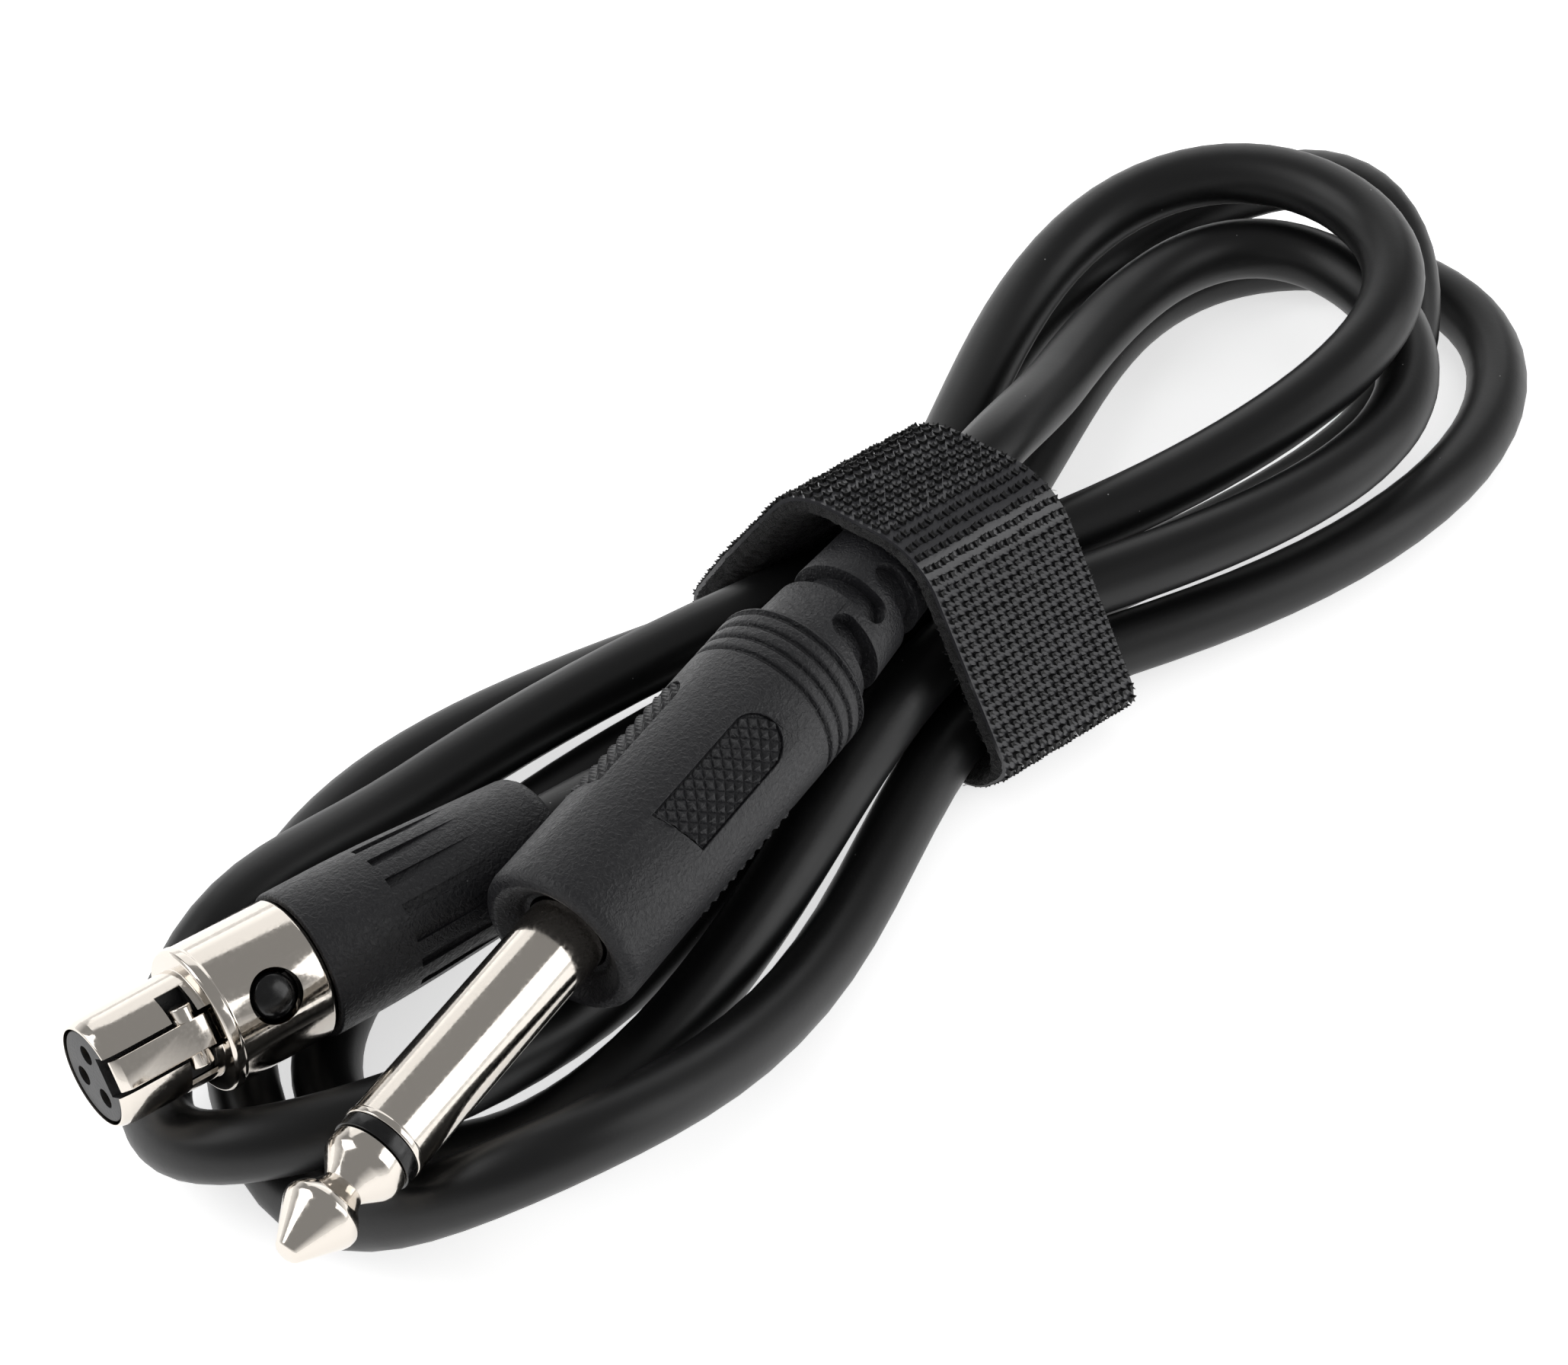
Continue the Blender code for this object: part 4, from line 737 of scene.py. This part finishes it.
def nubMesh():
    # One hook: a square stub whose four top corners are drawn out into prongs
    half = strap["nub"] / 2 * mm
    shape = bmesh.new()
    bmesh.ops.create_grid(shape, x_segments=2, y_segments=2, size=half)
    top = bmesh.ops.extrude_face_region(shape, geom=shape.faces[:], use_keep_orig=True)
    for vert in top["geom"]:
        if isinstance(vert, bmesh.types.BMVert):
            corner = abs(vert.co.x) > half / 2 and abs(vert.co.y) > half / 2
            vert.co.xy *= 1.3 if corner else 0.75
            vert.co.z = (strap["nubRise"] + (strap["prong"] if corner else 0.0)) * mm
    bmesh.ops.recalc_face_normals(shape, faces=shape.faces)
    mesh = bpy.data.meshes.new("nub")
    shape.to_mesh(mesh)
    shape.free()
    return mesh


def makeHooks():
    columns = round(strap["width"] / strap["pitchAcross"])
    rows = round(girth / (strap["pitchAlong"] * mm))
    draw = random.Random(strap["seed"])
    nub = nubMesh()
    foot = (strap["pile"] + strap["film"] - 0.02) * mm
    shape = bmesh.new()
    for row in range(rows):
        for column in range(columns):
            across = ((column + 0.5) / columns - 0.5) * strap["width"] + draw.uniform(-0.04, 0.04)
            along = (row + 0.5) / rows * girth + draw.uniform(-0.04, 0.04) * mm
            lean = Matrix.Rotation(draw.uniform(-0.2, 0.2), 4, "X")
            lean = lean @ Matrix.Rotation(draw.uniform(-0.2, 0.2), 4, "Z")
            tall = Matrix.Diagonal((1, 1, draw.uniform(0.8, 1.15), 1))
            copy = nub.copy()
            copy.transform(Matrix.Translation((across * mm, along, foot)) @ lean @ tall)
            shape.from_mesh(copy)
            bpy.data.meshes.remove(copy)
    bpy.data.meshes.remove(nub)
    return wrapPiece("strap_hooks", shape, hookNylon, sharp=30)


def makePile():
    # The pile stands free between the strands, is pressed thinner where the tape lies under the hank, and thins out at
    # the tape's edges
    shape = tapeLayer(-strap["tuft"], strap["pile"], 34, 360)
    draw = random.Random(strap["seed"])
    for vert in shape.verts:    # ragged pile
        if vert.co.z < 0:
            vert.co.z *= 1 - (2 * vert.co.x / (strap["width"] * mm)) ** 10
        if abs(vert.co.y) > 1e-6 and abs(vert.co.y - girth) > 1e-6:
            ragged = strap["tuft"] * 0.4 if vert.co.z < 0 else 0.1
            shift = (draw.uniform(-0.08, 0.08), draw.uniform(-0.08, 0.08), draw.uniform(-0.02, ragged))
            vert.co += Vector(shift) * mm
    return wrapPiece("strap_pile", shape, pileNylon, sharp=80)


def makeFibres():
    # Curled ends of the loops along the tape's two edges, drawn thicker than real so that they show
    draw = random.Random(strap["seed"])
    curve = bpy.data.curves.new("strapFibres", "CURVE")
    curve.dimensions = "3D"
    curve.bevel_depth = strap["fibre"] * mm
    curve.bevel_resolution = 0
    for number in range(strap["fibres"]):
        side = -1 if number % 2 else 1
        across = side * (strap["width"] / 2 - 0.2)
        along = draw.uniform(0, girth)
        rise = draw.uniform(0.1, strap["pile"])
        turn = draw.uniform(-1.5, 1.5)
        spline = curve.splines.new("POLY")
        spline.points.add(5)
        for point in spline.points:
            point.co = (*wrapped(across * mm, along, rise * mm), 1.0)
            across += side * strap["fibreStep"] * cos(turn)
            along += strap["fibreStep"] * mm * sin(turn)
            rise += draw.uniform(-0.1, 0.1)
            turn += draw.uniform(-1.3, 1.3)
    curve.materials.append(pileNylon)
    piece = bpy.data.objects.new("strap_fibres", curve)
    scene.collection.objects.link(piece)
    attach(piece, "hank")
    return piece


strapPieces = [makeHooks(), makePile(), makeFibres()]
film = wrapPiece("strap_film", tapeLayer(strap["pile"], strap["pile"] + strap["film"], 24, 240), sheenLiftedFilm, ["strap"])
print("strap made, girth", round(girth, 4))

# Floor and light: a white sweep, a large soft box behind the hank and two smaller ones beside the camera;
# each lamp's azimuth and elevation in degrees, distance and size in metres, power in watts
studio = {"floor": -cordDiameter / 10, "floorSize": 3.0, "floorGlow": 0.65, "fill": 0.55, "horizon": 1.0,
          "ceiling": 0.3,
          "lamps": {"back": (45.0, 28.0, 0.9, (1.0, 0.6), 1.7), "right": (-55.0, 28.0, 0.7, (0.35, 0.5), 1.0),
                    "left": (130.0, 40.0, 0.8, (0.5, 0.5), 1.6)}}
shape = bmesh.new()
bmesh.ops.create_grid(shape, x_segments=1, y_segments=1, size=studio["floorSize"] / 2)
bmesh.ops.translate(shape, vec=(0, 0, studio["floor"]), verts=shape.verts)
mesh = bpy.data.meshes.new("floor")
shape.to_mesh(mesh)
shape.free()
floor = bpy.data.objects.new("floor", mesh)
scene.collection.objects.link(floor)
paper, tree, shader = newMaterial("whitePaper", Base_Color=hexLinear("#f4f4f4"), Roughness=0.9)
rays = addNode(tree, "ShaderNodeLightPath")
seen = addNode(tree, "ShaderNodeMath", {0: rays.outputs["Is Camera Ray"], 1: rays.outputs["Is Glossy Ray"]},
               operation="ADD", use_clamp=True)
seenToo = addNode(tree, "ShaderNodeMath", {0: seen.outputs[0], 1: rays.outputs["Is Transmission Ray"]},
                  operation="ADD", use_clamp=True)
glow = addNode(tree, "ShaderNodeMath", {0: seenToo.outputs[0], 1: studio["floorGlow"]}, operation="MULTIPLY")
tree.links.new(glow.outputs[0], shader.inputs["Emission Strength"])
shader.inputs["Emission Color"].default_value = (1, 1, 1, 1)
mesh.materials.append(paper)

world = bpy.data.worlds.new("studio")
scene.world = world
world.use_nodes = True
tree = world.node_tree
rays = addNode(tree, "ShaderNodeLightPath")
seen = addNode(tree, "ShaderNodeMath", {0: rays.outputs["Is Camera Ray"], 1: rays.outputs["Is Transmission Ray"]},
               operation="ADD", use_clamp=True)
way = addNode(tree, "ShaderNodeTexCoord").outputs["Generated"]
height = addNode(tree, "ShaderNodeSeparateXYZ", {"Vector": way}).outputs["Z"]
# Polished pieces see the white sweep near the horizon and a dim ceiling above it
sweep = addNode(tree, "ShaderNodeMapRange", {"Value": height, "From Min": 0.05, "From Max": 0.4,
                                             "To Min": studio["horizon"], "To Max": studio["ceiling"]})
mirrored = addNode(tree, "ShaderNodeMix", {"Factor": rays.outputs["Is Glossy Ray"], "A": studio["fill"],
                                           "B": sweep.outputs["Result"]})
level = addNode(tree, "ShaderNodeMix", {"Factor": seen.outputs[0], "A": mirrored.outputs["Result"], "B": 1.0})
tree.nodes["Background"].inputs["Color"].default_value = (1, 1, 1, 1)
tree.links.new(level.outputs["Result"], tree.nodes["Background"].inputs["Strength"])
for name, (azimuth, elevation, distance, (wide, tall), power) in studio["lamps"].items():
    lamp = bpy.data.lights.new(name, "AREA")
    lamp.shape = "RECTANGLE"
    lamp.size = wide
    lamp.size_y = tall
    lamp.energy = power
    thing = bpy.data.objects.new(name, lamp)
    scene.collection.objects.link(thing)
    thing.location = aim(azimuth, elevation) * distance
    thing.rotation_euler = (-thing.location).to_track_quat("-Z", "Y").to_euler()
print("lit")
